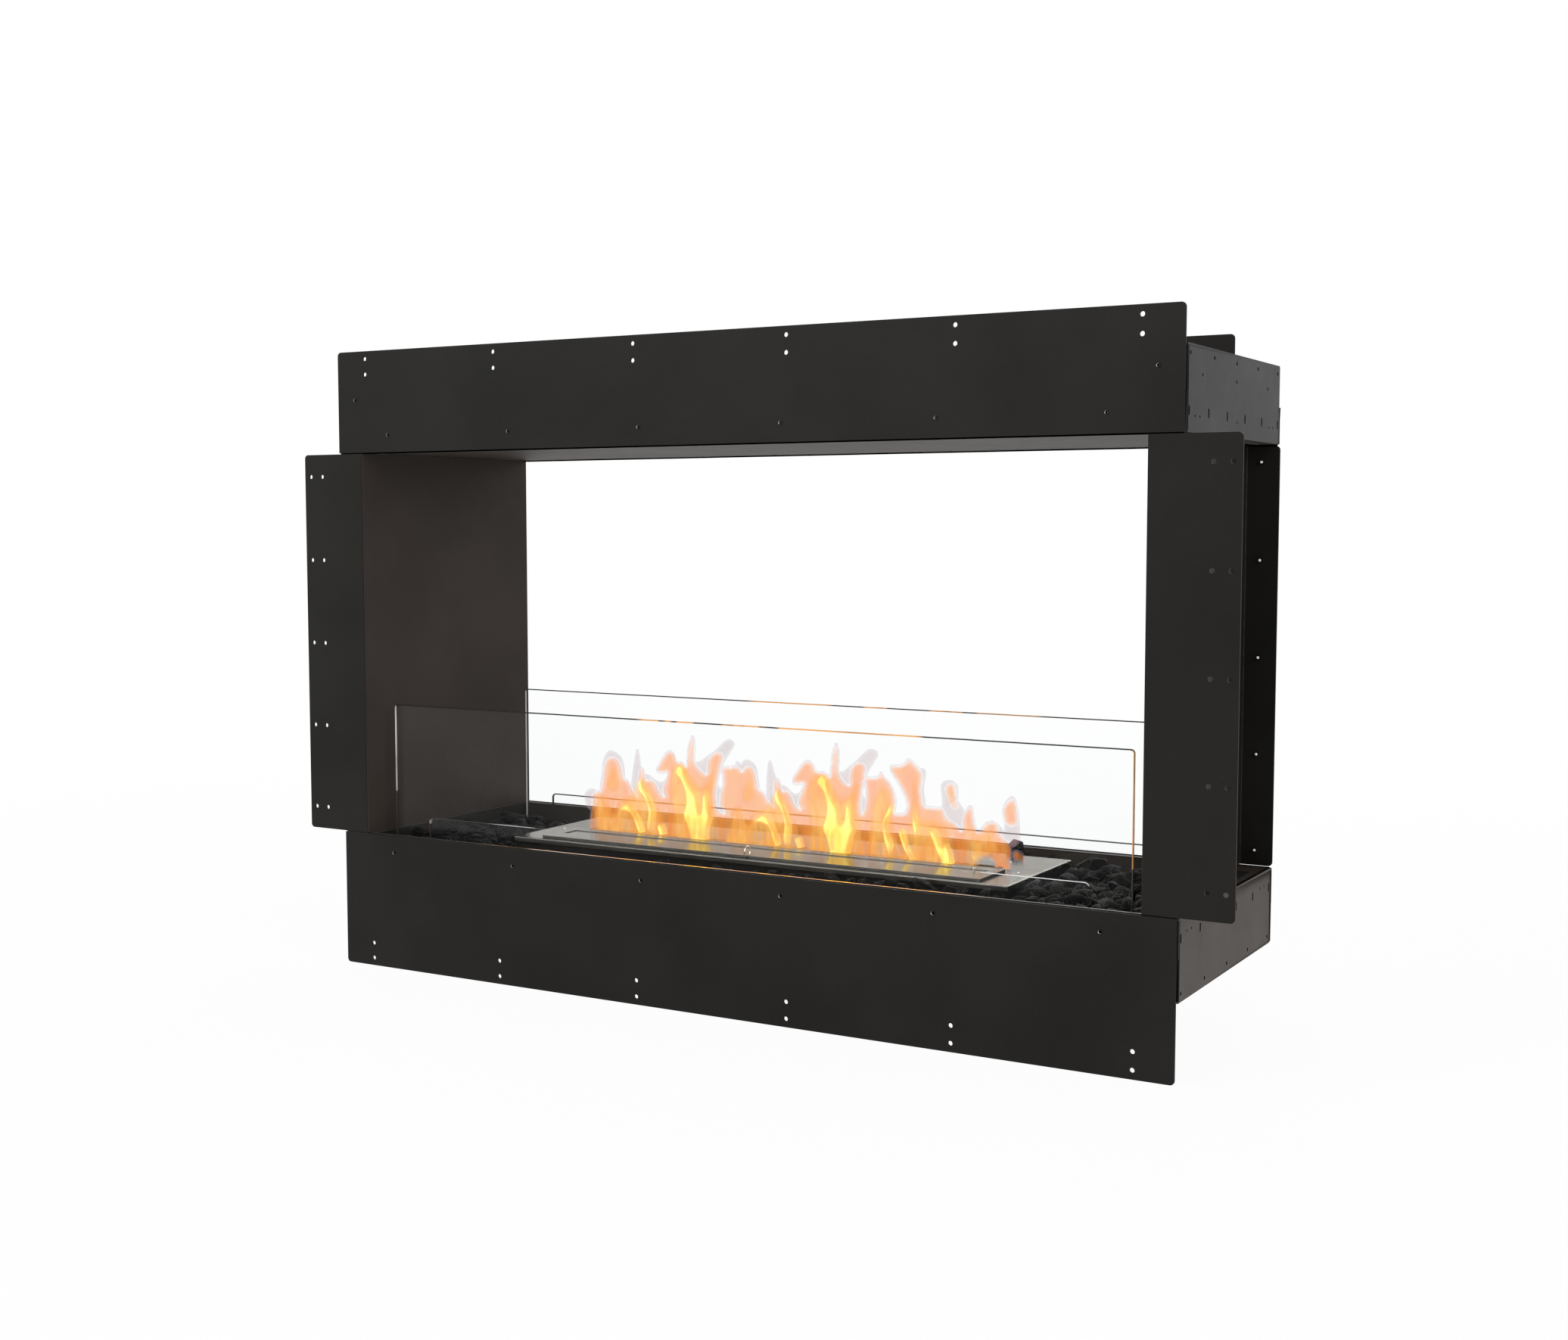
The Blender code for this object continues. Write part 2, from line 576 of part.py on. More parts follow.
def make_rivet_nuts():
    for i, (x, z) in enumerate(plate_nut_places(CEILING_Z, 1), 1):
        make_rivet_nut(f"top_rivet_nut_{i}", x, z, -1)
    for i, (x, z) in enumerate(upper_nut_places(), 1):
        make_rivet_nut(f"upper_rivet_nut_{i}", x, z, -1)
    for i, (x, z) in enumerate(plate_nut_places(FLOOR_Z, -1), 1):
        make_rivet_nut(f"bottom_rivet_nut_{i}", x, z, -1)
    for side, word in ((-1, "left"), (1, "right")):
        for i, (x, z) in enumerate(panel_nut_places(side), 1):
            make_rivet_nut(f"{word}_panel_rivet_nut_{i}", x, z, 1)


def make_glass_channel(name, side):
    """One strip with two grooves: the outer holds the tall pane, the inner the low one."""
    bottom = PAN_FLOOR_Z + FIT
    half = TALL_GLASS_WIDTH / 2
    near, far = sorted((side * CHANNEL_INNER_Y, side * CHANNEL_OUTER_Y))
    channel = box(name, (-half, near, bottom), (half, far, bottom + CHANNEL_HEIGHT), ZINC)
    groove = GLASS / 2 + FIT
    for y in (side * TALL_GLASS_Y, side * (TALL_GLASS_Y - GLASS_PITCH)):
        low = (-half - OVERRUN, y - groove, bottom + CHANNEL_WALL)
        cut_box(channel, low, (half + OVERRUN, y + groove, bottom + CHANNEL_HEIGHT + OVERRUN))


def make_pane(name, y, width, rise, radius):
    half = width / 2
    outline = rounded(-half, GLASS_BOTTOM_Z, half, FLOOR_Z + rise, radius, low=(False, False))
    prism(name, outline, "Y", y - GLASS / 2, y + GLASS / 2, CLEAR_GLASS)


def make_glass():
    for side, word in ((-1, "front"), (1, "back")):
        make_glass_channel(word + "_glass_channel", side)
        tall_y = side * TALL_GLASS_Y
        low_y = side * (TALL_GLASS_Y - GLASS_PITCH)
        make_pane("tall_glass_" + word, tall_y, TALL_GLASS_WIDTH, TALL_GLASS_RISE, CORNER_RADIUS)
        make_pane("low_glass_" + word, low_y, LOW_GLASS_WIDTH, LOW_GLASS_RISE, LOW_GLASS_RADIUS)


def make_open_box(name, half_x, half_y, low_z, finish):
    """A thin-walled box under the burner's top plate, open at the top."""
    made = box(name, (-half_x, -half_y, low_z), (half_x, half_y, TRAY_TOP_Z), finish)
    inner = (half_x - BURNER_SHEET, half_y - BURNER_SHEET)
    cut_box(made, (-inner[0], -inner[1], low_z + BURNER_SHEET), (*inner, TRAY_TOP_Z + OVERRUN))


def make_burner():
    half_x, half_y = BURNER_LENGTH / 2, BURNER_WIDTH / 2
    low_z = BURNER_Z - BURNER_LIP
    plate = box("burner_top_plate", (-half_x, -half_y, low_z), (half_x, half_y, BURNER_Z), STAINLESS)
    bevel = plate.modifiers.new("edge", "BEVEL")
    bevel.width = BURNER_EDGE_RADIUS
    bevel.segments = 2
    inner = (half_x - BURNER_SHEET, half_y - BURNER_SHEET)
    cut_box(plate, (-inner[0], -inner[1], low_z - OVERRUN), (inner[0], inner[1], PLATE_BOTTOM_Z))
    slot = (SLOT_LENGTH / 2, SLOT_WIDTH / 2)
    cut_box(plate, (-slot[0], -slot[1], low_z), (slot[0], slot[1], BURNER_Z + OVERRUN))
    make_open_box("burner_tray", TRAY_HALF_LENGTH, TRAY_HALF_WIDTH, TRAY_BOTTOM_Z, BLACK_COAT)
    tank_bottom = TRAY_BOTTOM_Z + BURNER_SHEET + FIT
    tank = (TANK_LENGTH / 2, TANK_WIDTH / 2)
    make_open_box("fuel_tank", *tank, tank_bottom, STAINLESS)
    wick = (tank[0] - BURNER_SHEET - FIT, tank[1] - BURNER_SHEET - FIT)
    wick_bottom = tank_bottom + BURNER_SHEET + FIT
    box("wick_block", (-wick[0], -wick[1], wick_bottom), (*wick, BURNER_Z - WICK_DROP), CERAMIC)


def make_lid():
    half = LID_LENGTH / 2
    lid = box("burner_lid", (-half, LID_FRONT_Y, LID_BOTTOM_Z), (half, LID_BACK_Y, LID_TOP_Z), STAINLESS)
    low = (-half + LID_SHEET, LID_FRONT_Y + LID_SHEET, LID_BOTTOM_Z - OVERRUN)
    cut_box(lid, low, (half - LID_SHEET, LID_BACK_Y - LID_SHEET, LID_TOP_Z - LID_SHEET))
    groove = (GROOVE_LENGTH / 2, GROOVE_WIDTH / 2)
    trough_z = LID_TOP_Z - GROOVE_DEPTH
    low = (-groove[0] - LID_SHEET, GROOVE_Y - groove[1] - LID_SHEET, trough_z - LID_SHEET)
    join_box(lid, low, (groove[0] + LID_SHEET, GROOVE_Y + groove[1] + LID_SHEET, LID_TOP_Z))
    low = (-groove[0], GROOVE_Y - groove[1], trough_z)
    cut_box(lid, low, (groove[0], GROOVE_Y + groove[1], LID_TOP_Z + OVERRUN))
    cut_ring_notch(lid)
    hole = circle(PIN_X, GROOVE_Y, (PIN_RADIUS + NUT_SEAT) * 2)
    punch(lid, [hole], "Z", LID_BOTTOM_Z - OVERRUN, LID_TOP_Z + OVERRUN)
    make_pin()
    make_pull_ring()


def ring_centre():
    """The ring's middle: it stands across the lid's front edge, just above the burner plate."""
    return LID_FRONT_Y + RING_SETBACK, LID_BOTTOM_Z + RING_RADIUS + RING_WIRE


def cut_ring_notch(lid):
    centre_y, _ = ring_centre()
    half = RING_WIRE + FIT
    back = centre_y + RING_RADIUS + RING_WIRE + FIT
    cut_box(lid, (-half, LID_FRONT_Y - OVERRUN, LID_BOTTOM_Z - OVERRUN), (half, back, LID_TOP_Z + OVERRUN))


def make_pull_ring():
    centre_y, centre_z = ring_centre()
    bm = bmesh.new()
    rings = []
    for i in range(RING_STEPS):
        turn = math.tau * i / RING_STEPS
        section = []
        for j in range(WIRE_SIDES):
            around = math.tau * j / WIRE_SIDES
            reach = RING_RADIUS + RING_WIRE * math.cos(around)
            point = (
                RING_WIRE * math.sin(around),
                centre_y + reach * math.cos(turn),
                centre_z + reach * math.sin(turn),
            )
            section.append(bm.verts.new(point))
        rings.append(section)
    for i, ring in enumerate(rings):
        following = rings[(i + 1) % RING_STEPS]
        for j in range(WIRE_SIDES):
            k = (j + 1) % WIRE_SIDES
            bm.faces.new((ring[j], ring[k], following[k], following[j]))
    ring = add_object("lid_pull_ring", bm, STAINLESS)
    ring.data.shade_smooth()


def make_pin():
    outline = circle(PIN_X, GROOVE_Y, PIN_RADIUS * 2)
    prism("lid_pin", outline, "Z", LID_BOTTOM_Z, LID_BOTTOM_Z + PIN_HEIGHT, STAINLESS)


def make_stone_bed(name, low_x, high_x, low_y, high_y):
    """A closed bed whose top ripples by a fixed formula, standing in for the loose stones."""
    bottom, top = PAN_FLOOR_Z + FIT, FLOOR_Z - STONE_DROP
    rate_a, rate_b, rate_c, rate_d = RIPPLE_RATES
    count_x = max(2, round((high_x - low_x) / STONE_CELL))
    count_y = max(1, round((high_y - low_y) / STONE_CELL))
    bm = bmesh.new()
    grid = []
    for i in range(count_x + 1):
        x = low_x + (high_x - low_x) * i / count_x
        row = []
        for j in range(count_y + 1):
            y = low_y + (high_y - low_y) * j / count_y
            wave = math.sin(rate_a * i + rate_b * j) + math.sin(rate_d * j - rate_c * i)
            row.append(bm.verts.new((x, y, top + STONE_RIPPLE * wave / 2)))
        grid.append(row)
    for i in range(count_x):
        for j in range(count_y):
            bm.faces.new((grid[i][j], grid[i + 1][j], grid[i + 1][j + 1], grid[i][j + 1]))
    edge = [grid[i][0] for i in range(count_x + 1)]
    edge += [grid[count_x][j] for j in range(1, count_y + 1)]
    edge += [grid[i][count_y] for i in range(count_x - 1, -1, -1)]
    edge += [grid[0][j] for j in range(count_y - 1, 0, -1)]
    feet = [bm.verts.new((v.co.x, v.co.y, bottom)) for v in edge]
    for i, upper in enumerate(edge):
        following = (i + 1) % len(edge)
        bm.faces.new((upper, edge[following], feet[following], feet[i]))
    bm.faces.new(feet)
    add_object(name, bm, BLACK_STONE)


def make_stone_beds():
    clear = STONE_CLEARANCE
    side_x = BURNER_LENGTH / 2 + clear
    pan_x = PAN_X - clear
    channel_y = CHANNEL_INNER_Y - clear
    for side, word in ((-1, "left"), (1, "right")):
        low_x, high_x = mirrored_x(side, side_x, pan_x)
        make_stone_bed("stone_bed_" + word, low_x, high_x, -channel_y, channel_y)
    for side, word in ((-1, "front"), (1, "back")):
        low_y, high_y = sorted((side * (BURNER_WIDTH / 2 + clear), side * channel_y))
        half = side_x - clear
        make_stone_bed("stone_bed_" + word, -half, half, low_y, high_y)
        low_y, high_y = sorted((side * (CHANNEL_OUTER_Y + clear), side * (PAN_Y - clear)))
        make_stone_bed(f"stone_bed_outer_{word}", -pan_x, pan_x, low_y, high_y)


def main():
    clear_scene()
    make_top_front_plate()
    make_bottom_front_plate()
    make_ceiling_tray()
    make_floor_tray()
    make_base_tray()
    make_top_cover()
    make_end_plates()
    make_side_panels()
    make_rivet_nuts()
    make_glass()
    make_burner()
    make_lid()
    make_stone_beds()


main()
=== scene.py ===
"""Double-sided fireplace insert: the looks of the firebox, burner, glass, stones and fire.

Units are metres and +Z is up, in the CAD model's own frame. New pieces are built in place, so each
object stays at the origin with its place in its mesh.
"""

import logging
import math
import random
from collections.abc import Callable, Iterable, Sequence
from dataclasses import dataclass, replace
from enum import Enum

import bmesh
import bpy
from mathutils import Euler, Matrix, Vector
from mathutils.bvhtree import BVHTree
from mathutils.kdtree import KDTree


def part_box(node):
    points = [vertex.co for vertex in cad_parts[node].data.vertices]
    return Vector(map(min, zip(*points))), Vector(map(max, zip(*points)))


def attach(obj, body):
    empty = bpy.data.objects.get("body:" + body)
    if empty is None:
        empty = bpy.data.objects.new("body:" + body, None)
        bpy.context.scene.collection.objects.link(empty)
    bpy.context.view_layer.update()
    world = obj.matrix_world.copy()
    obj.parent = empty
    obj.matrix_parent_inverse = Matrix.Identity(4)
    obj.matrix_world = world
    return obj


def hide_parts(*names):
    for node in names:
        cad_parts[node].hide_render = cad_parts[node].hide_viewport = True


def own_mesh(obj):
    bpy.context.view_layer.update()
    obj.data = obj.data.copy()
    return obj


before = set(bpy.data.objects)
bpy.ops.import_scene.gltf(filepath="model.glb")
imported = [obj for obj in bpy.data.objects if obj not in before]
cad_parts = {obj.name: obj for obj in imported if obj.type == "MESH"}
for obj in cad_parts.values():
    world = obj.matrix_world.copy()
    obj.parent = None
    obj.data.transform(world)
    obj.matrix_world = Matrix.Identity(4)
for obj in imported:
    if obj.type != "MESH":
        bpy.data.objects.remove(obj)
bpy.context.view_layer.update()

log = logging.getLogger("fireplace")

Colour = tuple[float, float, float]
Piece = bpy.types.Object
Outline = tuple[tuple[int, int], ...]

# Two values nearer than this are the same place.
SAME = 2e-5
# How far a cutter reaches past the surface that it cuts.
PAST = 0.01
# A face whose normal leans at least this much toward an axis lies square to it.
SQUARE = 0.9


class Kind(Enum):
    """What edit mode selects."""

    POINT = "VERT"
    EDGE = "EDGE"
    FACE = "FACE"


class Axis(Enum):
    """The direction that a hole or a rod runs in."""

    X = (0.0, math.pi / 2, 0.0)
    Y = (math.pi / 2, 0.0, 0.0)
    Z = (0.0, 0.0, 0.0)


def spread(count: int, pitch: float) -> list[float]:
    """Give the places of so many copies in a row, a pitch apart and centred on zero."""
    return [(i - (count - 1) / 2) * pitch for i in range(count)]


def sided(side: int, first: float, second: float) -> list[float]:
    """Give two distances on one side of the middle, -1 or 1, the lower value first."""
    return sorted((side * first, side * second))


class Value:
    """One output of a material's nodes, on which sums are written as Python expressions."""

    def __init__(self, graph: "Graph", socket: bpy.types.NodeSocket) -> None:
        """Keep the graph and the socket."""
        self.graph = graph
        self.socket = socket

    def __add__(self, other: "Value | float") -> "Value":
        """Add."""
        return self.graph.sum("ADD", self, other)

    __radd__ = __add__

    def __sub__(self, other: "Value | float") -> "Value":
        """Subtract."""
        return self.graph.sum("SUBTRACT", self, other)

    def __rsub__(self, other: float) -> "Value":
        """Subtract this from a number."""
        return self.graph.sum("SUBTRACT", other, self)

    def __mul__(self, other: "Value | float") -> "Value":
        """Multiply."""
        return self.graph.sum("MULTIPLY", self, other)

    __rmul__ = __mul__

    def __pow__(self, other: float) -> "Value":
        """Raise to a power."""
        return self.graph.sum("POWER", self, other)

    def size(self) -> "Value":
        """Give the value without its sign."""
        return self.graph.sum("ABSOLUTE", self)

    def greatest(self, other: "Value | float") -> "Value":
        """Give the greater of the two."""
        return self.graph.sum("MAXIMUM", self, other)

    def step(self, low: float, high: float) -> "Value":
        """Rise smoothly from 0 at low to 1 at high.

        Args:
            low: Where the rise starts. It may be above high, and then the value falls.
            high: Where it ends.

        Returns:
            The value from 0 to 1.
        """
        settings = {"interpolation_type": "SMOOTHSTEP"}
        ends = {"Value": self, "From Min": min(low, high), "From Max": max(low, high)}
        risen = self.graph.value("ShaderNodeMapRange", settings, ends)
        return 1 - risen if low > high else risen

    def between(self, low: float, high: float, soft: float = 0.02) -> "Value":
        """Give 1 between two values and 0 outside them, with soft ends."""
        return self.step(low, low + soft) * self.step(high, high - soft)


class Graph:
    """The nodes of one material."""

    def __init__(self, material: bpy.types.Material | bpy.types.World) -> None:
        """Empty the material's nodes.

        Args:
            material: The material to paint, or the world.
        """
        material.use_nodes = True
        self.tree = material.node_tree
        self.tree.nodes.clear()

    def node(self, kind: str, settings: dict | None = None, values: dict | None = None) -> bpy.types.Node:
        """Add a node, set it, then give its sockets values or links.

        Args:
            kind: The node's type.
            settings: Its own settings.
            values: A value or a Value for each socket, by name or number.

        Returns:
            The node.
        """
        made = self.tree.nodes.new(kind)
        for name, setting in (settings or {}).items():
            setattr(made, name, setting)
        for name, value in (values or {}).items():
            socket = made.inputs[name]
            if isinstance(value, Value):
                self.tree.links.new(value.socket, socket)
            elif isinstance(value, tuple) and socket.type == "RGBA":
                socket.default_value = (*value, 1.0)
            else:
                socket.default_value = value
        return made

    def value(
        self, kind: str, settings: dict | None = None, values: dict | None = None, output: int | str = 0
    ) -> Value:
        """Add a node in the same way and give one of its outputs, by name or number."""
        return Value(self, self.node(kind, settings, values).outputs[output])

    def sum(self, operation: str, *values: "Value | float") -> Value:
        """Work out one operation on values."""
        return self.value("ShaderNodeMath", {"operation": operation}, dict(enumerate(values)))

    def mix(self, share: "Value | float", first: "Value | Colour", second: "Value | Colour") -> Value:
        """Mix two colours. A share of 0 gives the first, and of 1 the second."""
        settings = {"data_type": "RGBA", "clamp_factor": True}
        return self.value("ShaderNodeMix", settings, {0: share, 6: first, 7: second}, 2)

    def place(self, stretch: Colour = (1.0, 1.0, 1.0)) -> Value:
        """Give the place on the object, in metres, stretched along its axes.

        Args:
            stretch: What each coordinate is multiplied by.

        Returns:
            The stretched place.
        """
        where = self.value("ShaderNodeTexCoord", output="Object")
        if stretch == (1.0, 1.0, 1.0):
            return where
        return self.value("ShaderNodeMapping", None, {"Vector": where, "Scale": stretch})

    def part(self, letter: str) -> Value:
        """Give one coordinate of the place on the object, X, Y or Z."""
        return self.value("ShaderNodeSeparateXYZ", None, {0: self.place()}, letter)

    def noise(self, scale: float, detail: float = 2.0, stretch: Colour = (1.0, 1.0, 1.0)) -> Value:
        """Give a soft random pattern about 0.5, of so many spots per metre and so many finer layers."""
        values = {"Vector": self.place(stretch), "Scale": scale, "Detail": detail}
        return self.value("ShaderNodeTexNoise", None, values)

    def cells(self, scale: float) -> Value:
        """Give each of many small cells, so many per metre, its own number from 0 to 1."""
        colour = self.value("ShaderNodeTexVoronoi", None, {0: self.place(), "Scale": scale}, 1)
        return self.value("ShaderNodeSeparateColor", None, {0: colour})

    def painted(self, name: str) -> Value:
        """Give the value that a mesh keeps at its points under a name."""
        return self.value("ShaderNodeAttribute", {"attribute_name": name}, output="Fac")

    def ray(self, kind: str) -> Value:
        """Give 1 for what rays of one kind meet, Camera, Glossy or Transmission, and else 0."""
        return self.value("ShaderNodeLightPath", output=f"Is {kind} Ray")

    def bump(self, height: Value, strength: float, distance: float) -> Value:
        """Tilt the surface's normal by a height, about 0 to 1, where 1 stands for a distance in metres."""
        values = {"Height": height, "Strength": strength, "Distance": distance}
        return self.value("ShaderNodeBump", None, values)

    def surface(self, **values: object) -> Value:
        """Add the main shader. Its sockets are given by name, with _ for a space."""
        sockets = {name.replace("_", " "): value for name, value in values.items()}
        return self.value("ShaderNodeBsdfPrincipled", None, sockets)

    def clear(self, tint: Colour = (1.0, 1.0, 1.0)) -> Value:
        """Give a shader that lets light straight through, tinted."""
        return self.value("ShaderNodeBsdfTransparent", None, {0: tint})

    def glow(self, colour: "Value | Colour") -> Value:
        """Give a shader that shines with a colour by itself."""
        return self.value("ShaderNodeEmission", None, {0: colour})

    def blend(self, share: "Value | float", first: Value, second: Value) -> Value:
        """Mix two shaders. A share of 0 gives the first, and of 1 the second."""
        return self.value("ShaderNodeMixShader", None, {0: share, 1: first, 2: second})

    def end(self, shader: Value) -> None:
        """Make a shader the material's surface."""
        self.node("ShaderNodeOutputMaterial", None, {"Surface": shader})


def scaled(colour: Colour, share: float, more: float = 0.0) -> Colour:
    """Give a colour made darker or lighter by a share, with a little more added."""
    return tuple(share * part + more for part in colour)


@dataclass(frozen=True)
class Finish:
    """A finish that pieces can share, painted when it is first asked for."""

    name: str
    slot: str

    def paint(self, graph: Graph) -> None:
        """Build the finish's nodes."""
        raise NotImplementedError

    def material(self) -> bpy.types.Material:
        """Give the finish's material, made the first time."""
        found = bpy.data.materials.get(self.name)
        if found is None:
            found = bpy.data.materials.new(self.name)
            self.paint(Graph(found))
        return found


@dataclass(frozen=True)
class PowderCoat(Finish):
    """Baked powder coat: a fine orange peel, cloudy tone, light dust and rubbed edges."""

    tone: Colour
    rubbed: Colour
    roughness: float = 0.46
    shine: float = 0.12
    # The fire's glow, painted into the coat as an orange metallic tone, or None.
    painted_fire_glow: Colour | None = None
    # Half the length that the fire's painted glow covers, and half the length to where that has faded.
    painted_fire_glow_half: tuple[float, float] = (0.28, 0.37)

    def paint(self, graph: Graph) -> None:
        """Build the coat's nodes."""
        peel = graph.noise(1100.0, 2.0)
        cloud = graph.noise(7.0, 3.0)
        handled = graph.noise(46.0, 4.0)
        dust = graph.noise(420.0, 1.0).step(0.66, 0.82) * 0.30
        wear = graph.painted("edge") * graph.noise(160.0, 2.0).step(0.30, 0.62)
        tone = graph.mix(cloud.step(0.25, 0.75), scaled(self.tone, 0.84), scaled(self.tone, 1.18, 0.001))
        tone = graph.mix(dust, tone, self.rubbed)
        colour = graph.mix(wear * 0.6, tone, self.rubbed)
        rough = self.roughness + (handled - 0.5) * 0.12 + (peel - 0.5) * 0.05 - wear * 0.16
        look = {}
        # Painted fire glow: along the middle the colour turns to the glow's tone and metallic, and past the
        # ends it fades to a rougher coat.
        if self.painted_fire_glow:
            ends = graph.part("X").size().step(*self.painted_fire_glow_half)
            glow_share = (1.0 - ends) * (0.80 + cloud.step(0.4, 0.6) * 0.18)
            colour = graph.mix(glow_share, colour, self.painted_fire_glow)
            rough = rough + ends * 0.40
            look["Metallic"] = glow_share
        look |= {"Base_Color": colour, "Roughness": rough, "Specular_IOR_Level": self.shine}
        graph.end(graph.surface(Normal=graph.bump(peel + handled * 0.3, 0.10, 0.0002), **look))


@dataclass(frozen=True)
class Stainless(Finish):
    """Brushed stainless steel, with the grain along X, smudges and a warm tint by the slot."""

    tone: Colour = (0.325, 0.319, 0.302)
    straw: Colour = (0.33, 0.25, 0.16)
    blue: Colour = (0.19, 0.20, 0.24)
    # How far from the slot's middle the heat's straw and blue colours end, and where they are full.
    straw_reach: tuple[float, float] = (0.034, 0.015)
    blue_reach: tuple[float, float] = (0.0175, 0.0145)
    roughness: float = 0.15
    tinted: bool = True
    # The colour at a low angle.
    grazing: Colour = (0.63, 0.615, 0.59)

    def paint(self, graph: Graph) -> None:
        """Build the steel's nodes."""
        grain = graph.noise(1.0, 3.0, (9.0, 1500.0, 1500.0))
        broad = graph.noise(1.0, 2.0, (3.0, 130.0, 130.0))
        smudge = graph.noise(24.0, 3.0)
        tone = graph.mix(broad.step(0.3, 0.7), scaled(self.tone, 0.92), self.tone)
        if self.tinted:
            near = graph.part("Y").size() + (graph.noise(30.0, 2.0) - 0.5) * 0.008
            tone = graph.mix(near.step(*self.straw_reach) * 0.25, tone, self.straw)
            tone = graph.mix(near.step(*self.blue_reach) * 0.40, tone, self.blue)
        rubbed = graph.mix(graph.painted("edge") * 0.5, tone, scaled(self.tone, 1.1))
        rough = self.roughness + (grain - 0.5) * 0.16 + smudge.step(0.5, 0.8) * 0.10
        look = {"Base_Color": rubbed, "Metallic": 1.0, "Roughness": rough, "Specular_Tint": self.grazing}
        graph.end(graph.surface(Normal=graph.bump(grain, 0.10, 0.0002), **look))


@dataclass(frozen=True)
class ZincPlate(Finish):
    """Bright zinc plating with a fine spangle and dull spots."""

    tone: Colour = (0.58, 0.58, 0.57)
    dull: Colour = (0.36, 0.36, 0.35)
    roughness: float = 0.30

    def paint(self, graph: Graph) -> None:
        """Build the plating's nodes."""
        fine = graph.noise(2200.0, 2.0)
        spots = graph.noise(500.0, 3.0)
        colour = graph.mix(spots.step(0.45, 0.75) * 0.7, self.tone, self.dull)
        rough = self.roughness + (fine - 0.5) * 0.2
        normal = graph.bump(fine, 0.10, 0.0001)
        graph.end(graph.surface(Base_Color=colour, Metallic=1.0, Roughness=rough, Normal=normal))


@dataclass(frozen=True)
class PaneGlass(Finish):
    """Clear toughened glass, seen nearly through, with faint wipe marks in its gloss."""

    tint: Colour = (0.994, 0.997, 0.996)
    haze: float = 0.002
    bend: float = 1.35

    def paint(self, graph: Graph) -> None:
        """Build the glass's nodes."""
        wiped = graph.noise(9.0, 4.0, (1.0, 1.0, 3.0))
        gloss = {"Color": (1.0, 1.0, 1.0), "Roughness": 0.02 + wiped.step(0.5, 0.8) * 0.05}
        shine = graph.value("ShaderNodeBsdfGlossy", None, gloss)
        veil = graph.surface(Base_Color=(0.86, 0.90, 0.90), Roughness=0.5, Specular_IOR_Level=0.0)
        mirror = graph.value("ShaderNodeFresnel", None, {"IOR": self.bend})
        seen = graph.blend(mirror * 0.10, graph.clear(self.tint), shine)
        graph.end(graph.blend(self.haze + wiped.step(0.4, 0.9) * 0.003, seen, veil))


@dataclass(frozen=True)
class GroundEdge(Finish):
    """A pane's ground and polished edge, with painted highlights, painted shade and stretches of the fire's
    amber glow painted in.

    Attributes:
        pale: Its painted highlight, where it catches the light.
        deep: Its painted shade, where it looks into the dark.
        cover: How much of what lies behind it is hidden.
        amber: The fire's glow painted into it.
        glowing: How much of that painted glow it takes.
        lit: The stretch along X that takes it.
        shaded_end: How much painted shade darkens its left end.
        foot: The height below which painted shade darkens it. 0 means nowhere.
        faint: The stretch along X where it can hardly be seen.
        gloss: How much it mirrors.
    """

    pale: Colour
    deep: Colour
    cover: float
    amber: Colour = (1.0, 0.46, 0.12)
    glowing: float = 0.0
    lit: tuple[float, float] = (-0.14, 0.30)
    shaded_end: float = 0.0
    foot: float = 0.0
    faint: tuple[float, float] = (0.0, 0.0)
    gloss: float = 0.5

    def paint(self, graph: Graph) -> None:
        """Build the edge's nodes."""
        grit = graph.noise(1600.0, 2.0)
        bands = graph.noise(1.0, 2.0, (10.0, 10.0, 24.0))
        along_x = graph.part("X")
        # Painted fire glow, in stretches along X.
        glow = graph.noise(1.0, 2.0, (21.0, 21.0, 9.0)).step(0.45, 0.52) * along_x.between(*self.lit)
        # Painted shade: random bands and the left end, and below the foot the lower part, darken toward the
        # deep colour.
        dull = bands.step(0.45, 0.75) * 0.4 + along_x.step(-0.33, -0.37) * self.shaded_end
        if self.foot:
            dull = dull + graph.part("Z").step(self.foot, self.foot - 0.002)
        colour = graph.mix(glow * self.glowing, self.pale, self.amber)
        colour = graph.mix(dull, colour, self.deep)
        look = {"Base_Color": colour, "Roughness": 0.18 + grit * 0.2, "Specular_IOR_Level": self.gloss}
        body = graph.surface(Normal=graph.bump(grit, 0.15, 0.0001), **look)
        cover = self.cover + (grit - 0.5) * 0.1
        if self.faint[1] > self.faint[0]:
            cover = cover * (1.0 - along_x.between(*self.faint) * 0.88)
        graph.end(graph.blend(cover, graph.clear(), body))


@dataclass(frozen=True)
class CrushedStone(Finish):
    """Crushed black lava stone: dull dark faces, each its own tone, with thin grey highlights painted on
    their broken rims.
    """

    dark: Colour = (0.0042, 0.0042, 0.0039)
    grey: Colour = (0.0165, 0.0160, 0.0142)
    # The painted highlight on the stones' rims.
    rim: Colour = (0.110, 0.106, 0.096)

    def paint(self, graph: Graph) -> None:
        """Build the stone's nodes."""
        grain = graph.noise(700.0, 3.0)
        chip = graph.cells(70.0)
        colour = graph.mix(chip.step(0.35, 1.0) * 0.8 + grain.step(0.55, 0.8) * 0.15, self.dark, self.grey)
        # Painted highlight: patches of the rims lighten toward the rim colour.
        rim_glint = graph.painted("edge").step(0.86, 0.98) * graph.noise(70.0, 2.0).step(0.44, 0.60)
        colour = graph.mix(rim_glint * 0.8, colour, self.rim)
        rough = 0.62 + chip * 0.24 + (grain - 0.5) * 0.2
        look = {"Base_Color": colour, "Roughness": rough, "Specular_IOR_Level": 0.08}
        graph.end(graph.surface(Normal=graph.bump(grain + graph.noise(180.0, 2.0), 0.30, 0.0010), **look))


